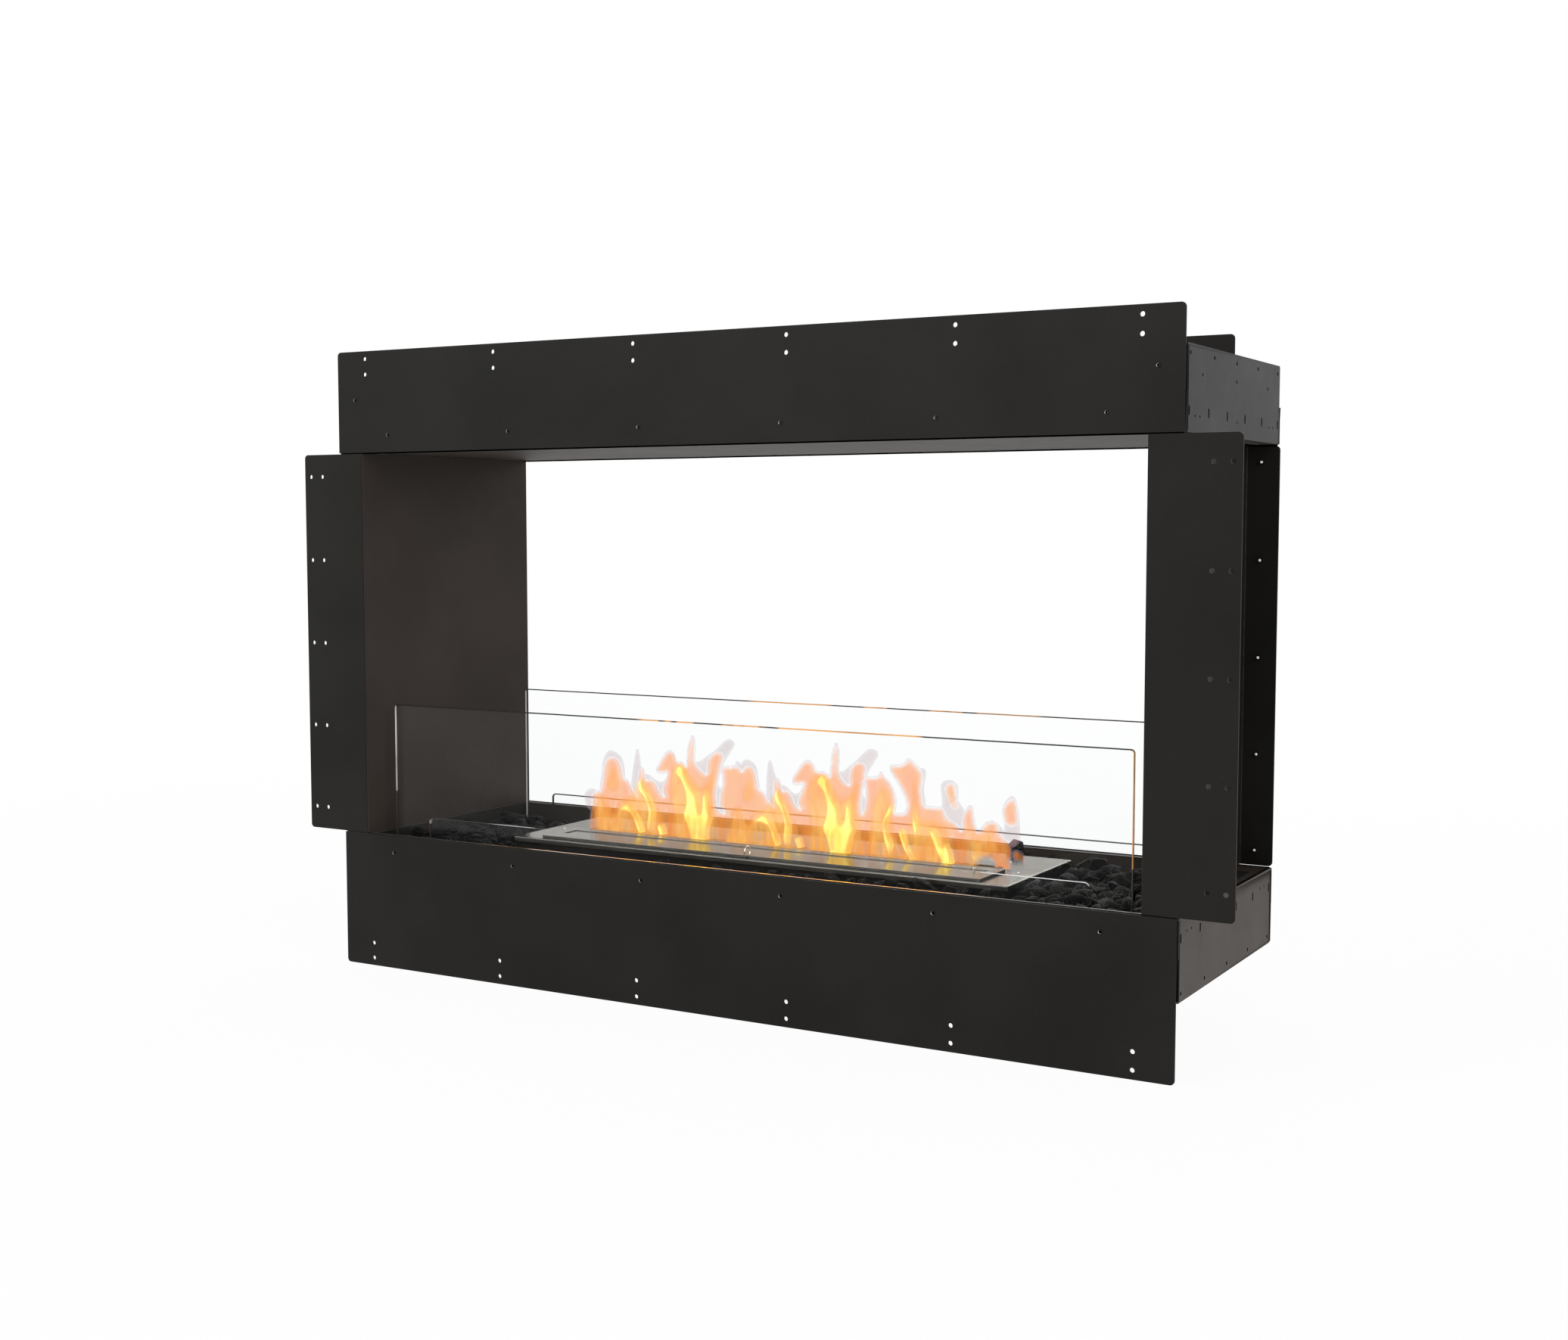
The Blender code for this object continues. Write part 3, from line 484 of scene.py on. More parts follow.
@dataclass(frozen=True)
class CeramicFibre(Finish):
    """Pressed white fibre wool, scorched a little on top."""

    pale: Colour = (0.80, 0.78, 0.72)
    scorched: Colour = (0.34, 0.26, 0.19)

    def paint(self, graph: Graph) -> None:
        """Build the wool's nodes."""
        strands = graph.noise(1.0, 4.0, (260.0, 900.0, 260.0))
        burnt = graph.noise(28.0, 3.0).step(0.5, 0.75)
        colour = graph.mix(burnt * 0.6, self.pale, self.scorched)
        normal = graph.bump(strands, 0.6, 0.001)
        graph.end(graph.surface(Base_Color=colour, Roughness=0.9 + (strands - 0.5) * 0.1, Normal=normal))


@dataclass(frozen=True)
class Fire(Finish):
    """Burning alcohol: one kind of glowing gas, thin at its rim, with fine streaks at its foot.

    Attributes:
        core: One of the gas's two colours.
        light: The other one.
        rim: Its colour at its rim.
        foot: The colour of the streaks at its foot.
        cover: How much of what lies behind it is hidden.
        edge: The share of its cover that it keeps at its rim.
        mirrored: How its cover changes in a mirror, where thin gas hardly shows and hearts are bright.
    """

    core: Colour
    light: Colour
    rim: Colour
    foot: Colour
    cover: float
    edge: float = 0.30
    mirrored: float = 0.40

    def paint(self, graph: Graph) -> None:
        """Build the gas's nodes."""
        rim = graph.painted("rim")
        low = graph.painted("rise").step(0.36, 0.04)
        streak = graph.noise(1.0, 2.0, (260.0, 60.0, 24.0))
        column = graph.noise(1.0, 2.0, (95.0, 30.0, 15.0))
        swirl = graph.noise(1.0, 2.0, (60.0, 60.0, 26.0))
        colour = graph.mix(swirl.step(0.36, 0.64), self.core, self.light)
        colour = graph.mix(low * streak.step(0.44, 0.64) * 0.8, colour, self.foot)
        colour = graph.mix(rim.step(0.30, 0.0), colour, self.rim)
        inside = rim.step(0.0, 0.5) * (1.0 - self.edge) + self.edge
        gaps = 1.0 - low * column.step(0.56, 0.40) * 0.62
        cover = inside * self.cover * (0.84 + swirl * 0.32) * gaps + low * streak.step(0.45, 0.65) * 0.16
        shown = 1.0 - graph.ray("Glossy") * (1.0 - self.mirrored)
        graph.end(graph.blend(cover * graph.painted("free") * shown, graph.clear(), graph.glow(colour)))


BLACK_COAT = PowderCoat("black_powder_coat", "black_coat", (0.0105, 0.0098, 0.0088), (0.030, 0.028, 0.026))
# A copy of the black coat with the fire's light painted in as a brown tone.
FIRELIT_COAT = PowderCoat(
    "firelit_powder_coat", "black_coat", (0.0370, 0.0285, 0.0245), (0.050, 0.042, 0.036), roughness=0.52
)
# The pan's front rim, with the fire's glow painted along its middle.
RIM_COAT = PowderCoat(
    "rim_powder_coat", "black_coat", (0.0120, 0.0108, 0.0096), (0.024, 0.022, 0.020), roughness=0.12,
    shine=0.80, painted_fire_glow=(0.86, 0.43, 0.14),
)
# A lit copy of the black coat for the top end plates' outer faces: painted light.
LIT_GREY_COAT = PowderCoat(
    "lit_grey_powder_coat", "end_plate_coat", (0.049, 0.047, 0.047), (0.090, 0.087, 0.085), roughness=0.55
)
# A warm lit copy of the black coat for the bottom end plates' outer faces and the ceiling's underside:
# painted light.
LIT_WARM_COAT = PowderCoat(
    "lit_warm_grey_coat", "end_plate_coat", (0.068, 0.058, 0.051), (0.105, 0.094, 0.084), roughness=0.55
)
STEEL = Stainless("brushed_stainless", "stainless")
# Darker, duller steel for the faces that don't face up: painted shade.
SHADED_STEEL = Stainless(
    "shaded_stainless", "stainless", (0.16, 0.157, 0.148), roughness=0.30, tinted=False,
    grazing=(0.3, 0.3, 0.3),
)
PLAIN_STEEL = Stainless(
    "plain_stainless", "stainless", (0.86, 0.84, 0.79), roughness=0.26, tinted=False,
    grazing=(1.0, 1.0, 1.0),
)
ZINC = ZincPlate("zinc_plate", "zinc")
NUT_ZINC = ZincPlate("nut_zinc_plate", "zinc", (0.20, 0.20, 0.195), (0.11, 0.11, 0.105), roughness=0.16)
GLASS = PaneGlass("clear_pane_glass", "clear_glass")
# The panes' edge finishes: painted highlights, painted shade and the fire's painted amber glow.
TOP_EDGE = GroundEdge(
    "pale_glass_edge", "clear_glass", (0.84, 0.84, 0.83), (0.05, 0.052, 0.05), cover=0.92, shaded_end=1.0,
    faint=(-0.30, 0.345),
)
BRIGHT_EDGE = GroundEdge(
    "bright_glass_edge", "clear_glass", (0.86, 0.83, 0.82), (0.52, 0.50, 0.49), cover=0.92
)
HALF_SHADED_EDGE = GroundEdge(
    "half_shaded_glass_edge", "clear_glass", (0.86, 0.80, 0.79), (0.05, 0.035, 0.032), cover=0.90, foot=0.146
)
TICK_EDGE = GroundEdge(
    "tick_glass_edge", "clear_glass", (0.80, 0.77, 0.76), (0.05, 0.03, 0.028), cover=0.80, foot=0.1050
)
AMBER_EDGE = GroundEdge(
    "amber_glass_edge", "clear_glass", (1.0, 0.56, 0.20), (0.04, 0.04, 0.038), cover=0.94, glowing=1.0,
    lit=(-1.0, 1.0), foot=0.133,
)
DARK_EDGE = GroundEdge(
    "dark_glass_edge", "clear_glass", (0.020, 0.020, 0.019), (0.012, 0.012, 0.011), cover=0.97, glowing=0.9,
    gloss=0.05,
)
SHADED_EDGE = GroundEdge(
    "shaded_glass_edge", "clear_glass", (0.032, 0.032, 0.030), (0.020, 0.020, 0.019), cover=0.96, gloss=0.1
)
STONE = CrushedStone("crushed_black_stone", "black_stone")
# A darker copy of the stone for the left bed: painted shade.
SHADED_STONE = CrushedStone(
    "shaded_black_stone", "black_stone", dark=(0.0012, 0.0012, 0.0011), grey=(0.0050, 0.0049, 0.0045),
    rim=(0.045, 0.044, 0.041),
)
FIBRE = CeramicFibre("ceramic_fibre", "ceramic")
FIRE_BODY = Fire(
    "fire_body", "flame", core=(1.0, 0.30, 0.045), light=(1.0, 0.40, 0.095), rim=(0.92, 0.36, 0.22),
    foot=(0.95, 0.27, 0.020), cover=0.46,
)
FIRE_VEIL = Fire(
    "fire_veil", "flame", core=(0.42, 0.27, 0.32), light=(0.56, 0.36, 0.38), rim=(0.46, 0.36, 0.42),
    foot=(0.60, 0.30, 0.24), cover=0.22, edge=0.7,
)
FIRE_AMBER = Fire(
    "fire_amber", "flame", core=(1.05, 0.50, 0.100), light=(1.10, 0.68, 0.20), rim=(1.0, 0.40, 0.08),
    foot=(1.05, 0.50, 0.06), cover=0.36, edge=0.0,
)
FIRE_HEART = Fire(
    "fire_heart", "flame", core=(1.80, 1.15, 0.25), light=(2.30, 1.75, 0.42), rim=(1.2, 0.62, 0.12),
    foot=(1.9, 1.05, 0.18), cover=0.60, edge=0.0, mirrored=1.9,
)


class Bench:
    """Hand tools. Each is a few operators used on one piece."""

    @staticmethod
    def clear() -> None:
        """Leave edit mode with nothing selected."""
        if bpy.context.mode != "OBJECT":
            bpy.ops.object.mode_set(mode="OBJECT")
        bpy.ops.object.select_all(action="DESELECT")

    @staticmethod
    def take(*pieces: Piece) -> None:
        """Select these pieces alone, the first of them active."""
        Bench.clear()
        for piece in pieces:
            piece.select_set(True)
        bpy.context.view_layer.objects.active = pieces[0]

    @staticmethod
    def settle(name: str, scale: Sequence[float] = (1.0, 1.0, 1.0)) -> Piece:
        """Name the new primitive and put its place and scale into its mesh.

        Args:
            name: The piece's name.
            scale: How it is stretched along its own axes.

        Returns:
            The piece, with its object at the origin.
        """
        piece = bpy.context.active_object
        piece.name = name
        piece.scale = scale
        bpy.ops.object.transform_apply(location=True, rotation=True, scale=True)
        return piece

    @staticmethod
    def block(name: str, low: Sequence[float], high: Sequence[float]) -> Piece:
        """Add a block between two corners.

        Args:
            name: The piece's name.
            low: Its lowest corner.
            high: Its highest corner.

        Returns:
            The block.
        """
        Bench.clear()
        low, high = Vector(low), Vector(high)
        bpy.ops.mesh.primitive_cube_add(size=1.0, location=(low + high) / 2)
        return Bench.settle(name, high - low)

    @staticmethod
    def rod(
        name: str, middle: Sequence[float], radius: float, length: float, axis: Axis, sides: int = 32
    ) -> Piece:
        """Add a round rod.

        Args:
            name: The piece's name.
            middle: Its middle.
            radius: Its radius.
            length: Its length.
            axis: The direction it runs in.
            sides: How many sides it has.

        Returns:
            The rod.
        """
        Bench.clear()
        bpy.ops.mesh.primitive_cylinder_add(
            vertices=sides, radius=radius, depth=length, location=middle, rotation=axis.value
        )
        return Bench.settle(name)

    @staticmethod
    def pick(piece: Piece, kind: Kind, test: Callable[..., bool]) -> None:
        """Enter edit mode with only the points, edges or faces selected that pass a test.

        Args:
            piece: The piece to edit.
            kind: What is selected.
            test: Takes a point, an edge or a face, and says whether it counts.
        """
        Bench.take(piece)
        bpy.ops.object.mode_set(mode="EDIT")
        bpy.ops.mesh.select_mode(type=kind.value)
        bpy.ops.mesh.select_all(action="DESELECT")
        shape = bmesh.from_edit_mesh(piece.data)
        lists = {Kind.POINT: shape.verts, Kind.EDGE: shape.edges, Kind.FACE: shape.faces}
        for item in lists[kind]:
            if test(item):
                item.select_set(True)
        bmesh.update_edit_mesh(piece.data)

    @staticmethod
    def pick_all(piece: Piece, kind: Kind) -> None:
        """Enter edit mode with everything selected."""
        Bench.pick(piece, kind, lambda item: True)

    @staticmethod
    def extrude(x: float, y: float, z: float) -> None:
        """Draw what is selected out by a distance."""
        bpy.ops.mesh.extrude_region_move(TRANSFORM_OT_translate={"value": (x, y, z)})

    @staticmethod
    def paint(mesh: bpy.types.Mesh, name: str, values: Sequence[float]) -> None:
        """Keep a value at each point of a mesh under a name."""
        mesh.attributes.new(name, "FLOAT", "POINT").data.foreach_set("value", values)

    @staticmethod
    def add(name: str, data: bpy.types.ID) -> Piece:
        """Put a mesh, a camera or a lamp into the scene and give its object."""
        holder = bpy.data.objects.new(name, data)
        bpy.context.scene.collection.objects.link(holder)
        return holder

    @staticmethod
    def done() -> None:
        """Turn the faces outward and leave edit mode."""
        bpy.ops.mesh.select_all(action="SELECT")
        bpy.ops.mesh.normals_make_consistent(inside=False)
        bpy.ops.object.mode_set(mode="OBJECT")

    @staticmethod
    def apply(piece: Piece, kind: str, **settings: object) -> Piece:
        """Add a modifier, set it and apply it.

        Args:
            piece: The piece to change.
            kind: The modifier's type.
            settings: Its settings.

        Returns:
            The piece.
        """
        Bench.take(piece)
        modifier = piece.modifiers.new(kind.lower(), kind)
        for name, value in settings.items():
            setattr(modifier, name, value)
        bpy.ops.object.modifier_apply(modifier=modifier.name)
        return piece

    @staticmethod
    def combine(piece: Piece, tool: Piece, operation: str) -> Piece:
        """Join a tool to a piece or cut it away, and remove the tool.

        Args:
            piece: The piece to change.
            tool: The other body.
            operation: UNION or DIFFERENCE.

        Returns:
            The piece.
        """
        Bench.apply(piece, "BOOLEAN", operation=operation, solver="EXACT", object=tool)
        mesh = tool.data
        bpy.data.objects.remove(tool)
        bpy.data.meshes.remove(mesh)
        return piece

    @staticmethod
    def weld(piece: Piece, low: Sequence[float], high: Sequence[float]) -> Piece:
        """Join a block between two corners to a piece."""
        return Bench.combine(piece, Bench.block("weld", low, high), "UNION")

    @staticmethod
    def mill(piece: Piece, low: Sequence[float], high: Sequence[float]) -> Piece:
        """Cut the block between two corners out of a piece."""
        return Bench.combine(piece, Bench.block("mill", low, high), "DIFFERENCE")

    @staticmethod
    def copy(piece: Piece, name: str, move: Matrix) -> Piece:
        """Copy a piece with its own mesh, moved.

        Args:
            piece: The piece to copy.
            name: The copy's name.
            move: How its mesh is moved.

        Returns:
            The copy, with its object at the origin.
        """
        mesh = piece.data.copy()
        mesh.transform(move)
        return Bench.add(name, mesh)

    @staticmethod
    def join(pieces: Sequence[Piece], name: str) -> Piece:
        """Make several pieces one.

        Args:
            pieces: The pieces.
            name: The name of the one.

        Returns:
            The one piece.
        """
        Bench.take(*pieces)
        if len(pieces) > 1:
            bpy.ops.object.join()
        pieces[0].name = name
        return pieces[0]

    @staticmethod
    def drill(
        piece: Piece,
        places: Sequence[Vector],
        width: float,
        axis: Axis,
        depth: float = PAST,
        height: float = 0.0,
    ) -> Piece:
        """Drill a row of holes, or of upright slots.

        Args:
            piece: The piece to drill.
            places: The middles of the holes.
            width: The holes' diameter, or the slots' width.
            axis: The direction they run in.
            depth: How long the drill is.
            height: The slots' height. 0 gives round holes.

        Returns:
            The piece.
        """
        bit = Bench.rod("bit", (0, 0, 0), width / 2, depth, axis)
        if height:
            reach = (height - width) / 2
            for end in (-1, 1):
                Bench.pick(bit, Kind.POINT, lambda point: point.co.z * end > SAME)
                bpy.ops.transform.translate(value=(0, 0, end * reach))
            Bench.done()
        bits = [Bench.copy(bit, "bit", Matrix.Translation(place)) for place in places]
        bpy.data.objects.remove(bit)
        return Bench.combine(piece, Bench.join(bits, "bits"), "DIFFERENCE")

    @staticmethod
    def round_edges(piece: Piece, test: Callable[..., bool], radius: float, steps: int = 5) -> Piece:
        """Round some of a piece's edges.

        Args:
            piece: The piece to change.
            test: Says which edges.
            radius: The radius.
            steps: How many faces go round.

        Returns:
            The piece.
        """
        Bench.pick(piece, Kind.EDGE, test)
        bpy.ops.mesh.bevel(offset=radius, offset_type="OFFSET", segments=steps, affect="EDGES")
        Bench.done()
        return piece

    @staticmethod
    def hollow(piece: Piece, wall: float, depth: float, up: int = 1) -> Piece:
        """Press a piece's top face in, or its bottom one, to leave walls.

        Args:
            piece: The piece to change.
            wall: The walls' thickness.
            depth: How deep the hollow is.
            up: 1 for the top face and -1 for the bottom one.

        Returns:
            The piece.
        """
        Bench.pick(piece, Kind.FACE, lambda face: face.normal.z * up > SQUARE)
        bpy.ops.mesh.inset(thickness=wall, depth=0.0)
        Bench.extrude(0, 0, -up * depth)
        Bench.done()
        return piece

    @staticmethod
    def mark_edges(piece: Piece, width: float) -> None:
        """Paint 1 on the points that lie along a piece's broken edges, for its wear.

        Args:
            piece: The piece.
            width: The width under which a face belongs to a broken edge.
        """
        shape = bmesh.new()
        shape.from_mesh(piece.data)
        marks = []
        for point in shape.verts:
            widths = [f.calc_area() / max(f.calc_perimeter() / 2, 1e-9) for f in point.link_faces]
            marks.append(1.0 if widths and max(widths) < width else 0.0)
        shape.free()
        Bench.paint(piece.data, "edge", marks)

    @staticmethod
    def finish(piece: Piece, width: float = 0.0004, degrees: float = 30.0) -> Piece:
        """Break a piece's sharp edges and shade its round ones smooth.

        Args:
            piece: The piece.
            width: How wide the broken edges are. 0 leaves them.
            degrees: The angle under which neighbours are shaded as one surface.

        Returns:
            The piece.
        """
        if width:
            settings = {"width": width, "segments": 2, "limit_method": "ANGLE"}
            Bench.apply(piece, "BEVEL", angle_limit=math.radians(50), use_clamp_overlap=True, **settings)
            Bench.mark_edges(piece, width)
        Bench.take(piece)
        bpy.ops.object.shade_smooth_by_angle(angle=math.radians(degrees))
        return Bench.apply(piece, "WEIGHTED_NORMAL", keep_sharp=True, weight=60)


def dress(piece: Piece, finish: Finish, body: str, *nodes: str) -> Piece:
    """Give a piece its finish and the body it moves with, and hide the CAD nodes that it stands for.

    Args:
        piece: The piece.
        finish: Its finish.
        body: The body.
        nodes: The nodes.

    Returns:
        The piece.
    """
    if not piece.data.materials:
        piece.data.materials.append(finish.material())
    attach(piece, body)
    if nodes:
        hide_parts(*nodes)
    log.info("%s: %d faces", piece.name, len(piece.data.polygons))
    return piece


def coats(piece: Piece, choose: Callable[[bpy.types.MeshPolygon], int], *finishes: Finish) -> None:
    """Give the faces of one piece different finishes.

    Args:
        piece: The piece.
        choose: Takes a face and gives the number of its finish, from 0.
        finishes: The finishes.
    """
    for finish in finishes:
        piece.data.materials.append(finish.material())
    for face in piece.data.polygons:
        face.material_index = int(choose(face))


def along(edge: bmesh.types.BMEdge, letter: int) -> bool:
    """Say whether an edge runs along axis 0, 1 or 2."""
    run = edge.verts[1].co - edge.verts[0].co
    return abs(run[letter]) > 0.999 * run.length


def at(edge: bmesh.types.BMEdge, letter: int, value: float) -> bool:
    """Say whether both ends of an edge lie at a value on axis 0, 1 or 2."""
    return all(abs(point.co[letter] - value) < SAME for point in edge.verts)


@dataclass
class SheetWork:
    """Sizes that the sheet metal parts share.

    Attributes:
        sheet: The sheet's thickness.
        fit: The gap between two sheets that lie against each other.
        corner: The radius of free corners.
        fixing_hole: The diameter of the holes for the wall screws.
        nut_seat: The diameter of the holes for the rivet nuts.
    """

    sheet: float = 0.002
    fit: float = 0.0003
    corner: float = 0.005
    fixing_hole: float = 0.0055
    nut_seat: float = 0.0046


@dataclass
class FrontPlates(SheetWork):
    """The two long plates over and under the fire opening, with their fixing holes."""

    fixing_rows: tuple[float, float] = (0.010, 0.030)
    fixing_pitch: float = 0.2106
    nut_row: float = 0.022
    nut_pitch: float = 0.1956
    upper_nut_x: float = 0.544
    upper_nut_rise: float = 0.0682

    def build(self) -> list[Piece]:
        """Build both plates."""
        return [self.plate("top_front_plate", 1), self.plate("bottom_front_plate", -1)]

    def plate(self, node: str, up: int) -> Piece:
        """Build one plate.

        Args:
            node: The CAD node that it stands for.
            up: 1 where it stands up from the opening and -1 where it hangs down.

        Returns:
            The plate.
        """
        low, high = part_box(node)
        free, fold = (high.z, low.z) if up > 0 else (low.z, high.z)
        piece = Bench.block(node + "_sheet", low, high)
        Bench.round_edges(piece, lambda edge: along(edge, 1) and at(edge, 2, free), self.corner)
        y = (low.y + high.y) / 2
        columns = spread(6, self.fixing_pitch)
        places = [Vector((x, y, free - up * row)) for x in columns for row in self.fixing_rows]
        Bench.drill(piece, places, self.fixing_hole, Axis.Y, 2 * PAST)
        seats = [Vector((x, y, fold + up * self.nut_row)) for x in spread(6, self.nut_pitch)]
        if up > 0:
            seats += [Vector((s * self.upper_nut_x, y, fold + self.upper_nut_rise)) for s in (-1, 1)]
        Bench.drill(piece, seats, self.nut_seat, Axis.Y, 2 * PAST)
        return dress(Bench.finish(piece), BLACK_COAT, "firebox", node)


@dataclass
class SidePanels(SheetWork):
    """The folded panel at each end of the opening: web, wide front flange and narrow back flange."""

    web_x: float = 0.5335
    face_y: float = 0.1746
    front_flange: float = 0.1004
    back_flange: float = 0.041
    gap: float = 0.0014
    bend: float = 0.003
    fixing_columns: tuple[float, float] = (0.010, 0.030)
    fixing_pitch: float = 0.1103
    nut_column: float = 0.0208
    nut_pitch: float = 0.1153
    foot_width: float = 0.030
    foot_half: float = 0.120
    hem: float = 0.001
    hem_half: float = 0.168

    def build(self) -> list[Piece]:
        """Build both panels."""
        return [self.panel("left_side_panel", -1), self.panel("right_side_panel", 1)]

    def fold(self, node: str, side: int, low_z: float, high_z: float) -> Piece:
        """Fold the sheet: a web whose two upright edges are drawn out into flanges.

        Args:
            node: The CAD node that the panel stands for.
            side: -1 for the left panel and 1 for the right one.
            low_z: The panel's bottom.
            high_z: Its top.

        Returns:
            The folded sheet, before any hole.
        """
        Bench.clear()
        web = side * self.web_x
        middle = (web, 0, (low_z + high_z) / 2)
        bpy.ops.mesh.primitive_plane_add(size=1.0, location=middle, rotation=(0, math.pi / 2, 0))
        piece = Bench.settle(node + "_sheet", (high_z - low_z, 2 * self.face_y, 1))
        for end, flange in ((-1, self.front_flange), (1, self.back_flange)):
            Bench.pick(piece, Kind.EDGE, lambda edge: at(edge, 1, end * self.face_y) and at(edge, 0, web))
            Bench.extrude(side * flange, 0, 0)
            bpy.ops.object.mode_set(mode="OBJECT")
        tips = (web + side * self.front_flange, web + side * self.back_flange)
        Bench.pick(piece, Kind.POINT, lambda point: min(abs(point.co.x - tip) for tip in tips) < SAME)
        bpy.ops.mesh.bevel(offset=self.corner, segments=5, affect="VERTICES")
        Bench.pick(piece, Kind.EDGE, lambda edge: along(edge, 2) and at(edge, 0, web))
        bpy.ops.mesh.bevel(offset=self.bend, segments=8, affect="EDGES")
        Bench.done()
        middle = min(piece.data.polygons, key=lambda face: abs(face.center.y) + abs(face.center.x - web))
        if middle.normal.x * side > 0:
            piece.data.flip_normals()
        return Bench.apply(piece, "SOLIDIFY", thickness=self.sheet, offset=-1.0)

    def panel(self, node: str, side: int) -> Piece:
        """Build one panel.

        Args:
            node: The CAD node that it stands for.
            side: -1 for the left one and 1 for the right one.

        Returns:
            The panel.
        """
        low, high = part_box(node)
        floor_z, ceiling_z = low.z - self.fit, high.z + self.fit
        piece = self.fold(node, side, floor_z + self.gap, ceiling_z - self.gap)
        near, far = sided(side, self.web_x, self.web_x + self.foot_width)
        for z in (low.z, high.z - self.sheet):
            Bench.weld(piece, (near, -self.foot_half, z), (far, self.foot_half, z + self.sheet))
        inner, outer = sided(side, self.web_x, self.web_x + self.sheet)
        for z in (low.z, high.z - self.gap - self.hem):
            Bench.weld(piece, (inner, -self.hem_half, z), (outer, self.hem_half, z + self.gap + self.hem))
        middle = (floor_z + ceiling_z) / 2
        tip = self.web_x + self.front_flange
        rows = spread(5, self.fixing_pitch)
        columns = [side * (tip - column) for column in self.fixing_columns]
        front = [Vector((x, -self.face_y, middle + z)) for x in columns for z in rows]
        Bench.drill(piece, front, self.fixing_hole, Axis.Y)
        x = side * (self.web_x + self.nut_column)
        back = [Vector((x, self.face_y, middle + z)) for z in spread(5, self.nut_pitch)]
        Bench.drill(piece, back, self.nut_seat, Axis.Y)
        Bench.finish(piece)
        inner = self.web_x + self.sheet / 2
        # The web's inner face takes the coat with the fire's light painted in.
        coats(
            piece,
            lambda face: face.normal.x * side < -0.5 and face.center.x * side < inner,
            BLACK_COAT,
            FIRELIT_COAT,
        )
        return dress(piece, BLACK_COAT, "firebox", node)


@dataclass
class Trays(SheetWork):
    """The folded trays that close the two boxes: ceiling, floor with its pan, base and top cover."""

    overhang: float = 0.0032
    fold: float = 0.0018
    rim_radius: float = 0.0012
    nut_row: float = 0.022
    nut_pitch: float = 0.1956
    pan_x: float = 0.5315
    pan_y: float = 0.161
    pan_depth: float = 0.0425
    mouth_x: float = 0.348
    mouth_y: float = 0.096
    end_hole: float = 0.0045
    end_edge: float = 0.0095
    end_pitch: float = 0.0804
    upstand_x: float = 0.519
    upstand_foot: float = 0.015

    def build(self) -> list[Piece]:
        """Build all four."""
        return [self.ceiling(), self.floor(), self.base(), self.cover()]

    def lips(self, piece: Piece, base_z: float, tip_z: float, long_x: float, x: float, y: float) -> Piece:
        """Fold lips up, or down, round a flat sheet.

        Args:
            piece: The flat sheet.
            base_z: The fold's height.
            tip_z: The lips' free edge.
            long_x: Half the length of the two long lips.
            x: Half the sheet's length.
            y: Half its width.

        Returns:
            The tray.
        """
        low_z, high_z = sorted((base_z, tip_z))
        end_y = y - 2 * (self.sheet + self.fit)
        for side in (-1, 1):
            near, far = sided(side, y - self.sheet, y)
            Bench.weld(piece, (-long_x, near, low_z), (long_x, far, high_z))
            near, far = sided(side, x - self.sheet, x)
            Bench.weld(piece, (near, -end_y, low_z), (far, end_y, high_z))
        return piece

    def nut_row_places(self, z: float, y: float) -> list[Vector]:
        """Give the places of the nuts' holes along the front lip."""
        return [Vector((x, -y, z)) for x in spread(6, self.nut_pitch)]

    def long_folds(self, piece: Piece, y: float, z: float) -> None:
        """Round the folds of a tray's two long lips."""
        for side in (-1, 1):
            Bench.round_edges(
                piece, lambda edge: along(edge, 0) and at(edge, 1, side * y) and at(edge, 2, z), self.fold, 4
            )

    def ceiling(self) -> Piece:
        """Build the tray over the opening."""
        low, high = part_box("ceiling_tray")
        long_x, y = high.x, high.y
        x = long_x - self.overhang
        piece = Bench.block("ceiling_tray_sheet", (-x, -y, low.z), (x, y, low.z + self.sheet))
        self.lips(piece, low.z, high.z, long_x, x, y)
        self.long_folds(piece, y, low.z)
        Bench.drill(piece, self.nut_row_places(low.z + self.nut_row, y), self.nut_seat, Axis.Y)
        Bench.finish(piece)
        under = low.z + self.sheet / 2
        # The underside takes the warm lit copy of the coat: painted light.
        coats(piece, lambda face: face.normal.z < -0.5 and face.center.z < under, BLACK_COAT, LIT_WARM_COAT)
        return dress(piece, BLACK_COAT, "firebox", "ceiling_tray")

    def floor(self) -> Piece:
        """Build the tray under the opening, with its recessed pan."""
        low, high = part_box("floor_tray")
        long_x, y, top = high.x, high.y, high.z
        x = long_x - self.overhang
        piece = Bench.block("floor_tray_sheet", (-x, -y, top - self.sheet), (x, y, top))
        self.lips(piece, top, low.z, long_x, x, y)
        self.long_folds(piece, y, top)
        outer = (self.pan_x + self.sheet, self.pan_y + self.sheet)
        Bench.weld(piece, (-outer[0], -outer[1], top - self.pan_depth), (*outer, top - self.sheet / 2))
        floor_z = top - self.pan_depth + self.sheet
        Bench.mill(piece, (-self.pan_x, -self.pan_y, floor_z), (self.pan_x, self.pan_y, top + PAST))
        for letter, value in ((0, self.pan_y), (1, self.pan_x)):
            other = 1 - letter
            Bench.round_edges(
                piece,
                lambda edge: along(edge, letter)
                and at(edge, 2, top)
                and (at(edge, other, value) or at(edge, other, -value)),
                self.rim_radius,
                3,
            )
        under, over = low.z - PAST, floor_z + PAST
        Bench.mill(piece, (-self.mouth_x, -self.mouth_y, under), (self.mouth_x, self.mouth_y, over))
        Bench.drill(piece, self.nut_row_places(top - self.nut_row, y), self.nut_seat, Axis.Y)
        Bench.finish(piece, 0.0003)
        # The pan's walls and the rim take coats with the fire's light painted in.
        coats(piece, lambda face: self.floor_coat(face, floor_z, top, y), BLACK_COAT, FIRELIT_COAT, RIM_COAT)
        return dress(piece, BLACK_COAT, "firebox", "floor_tray")

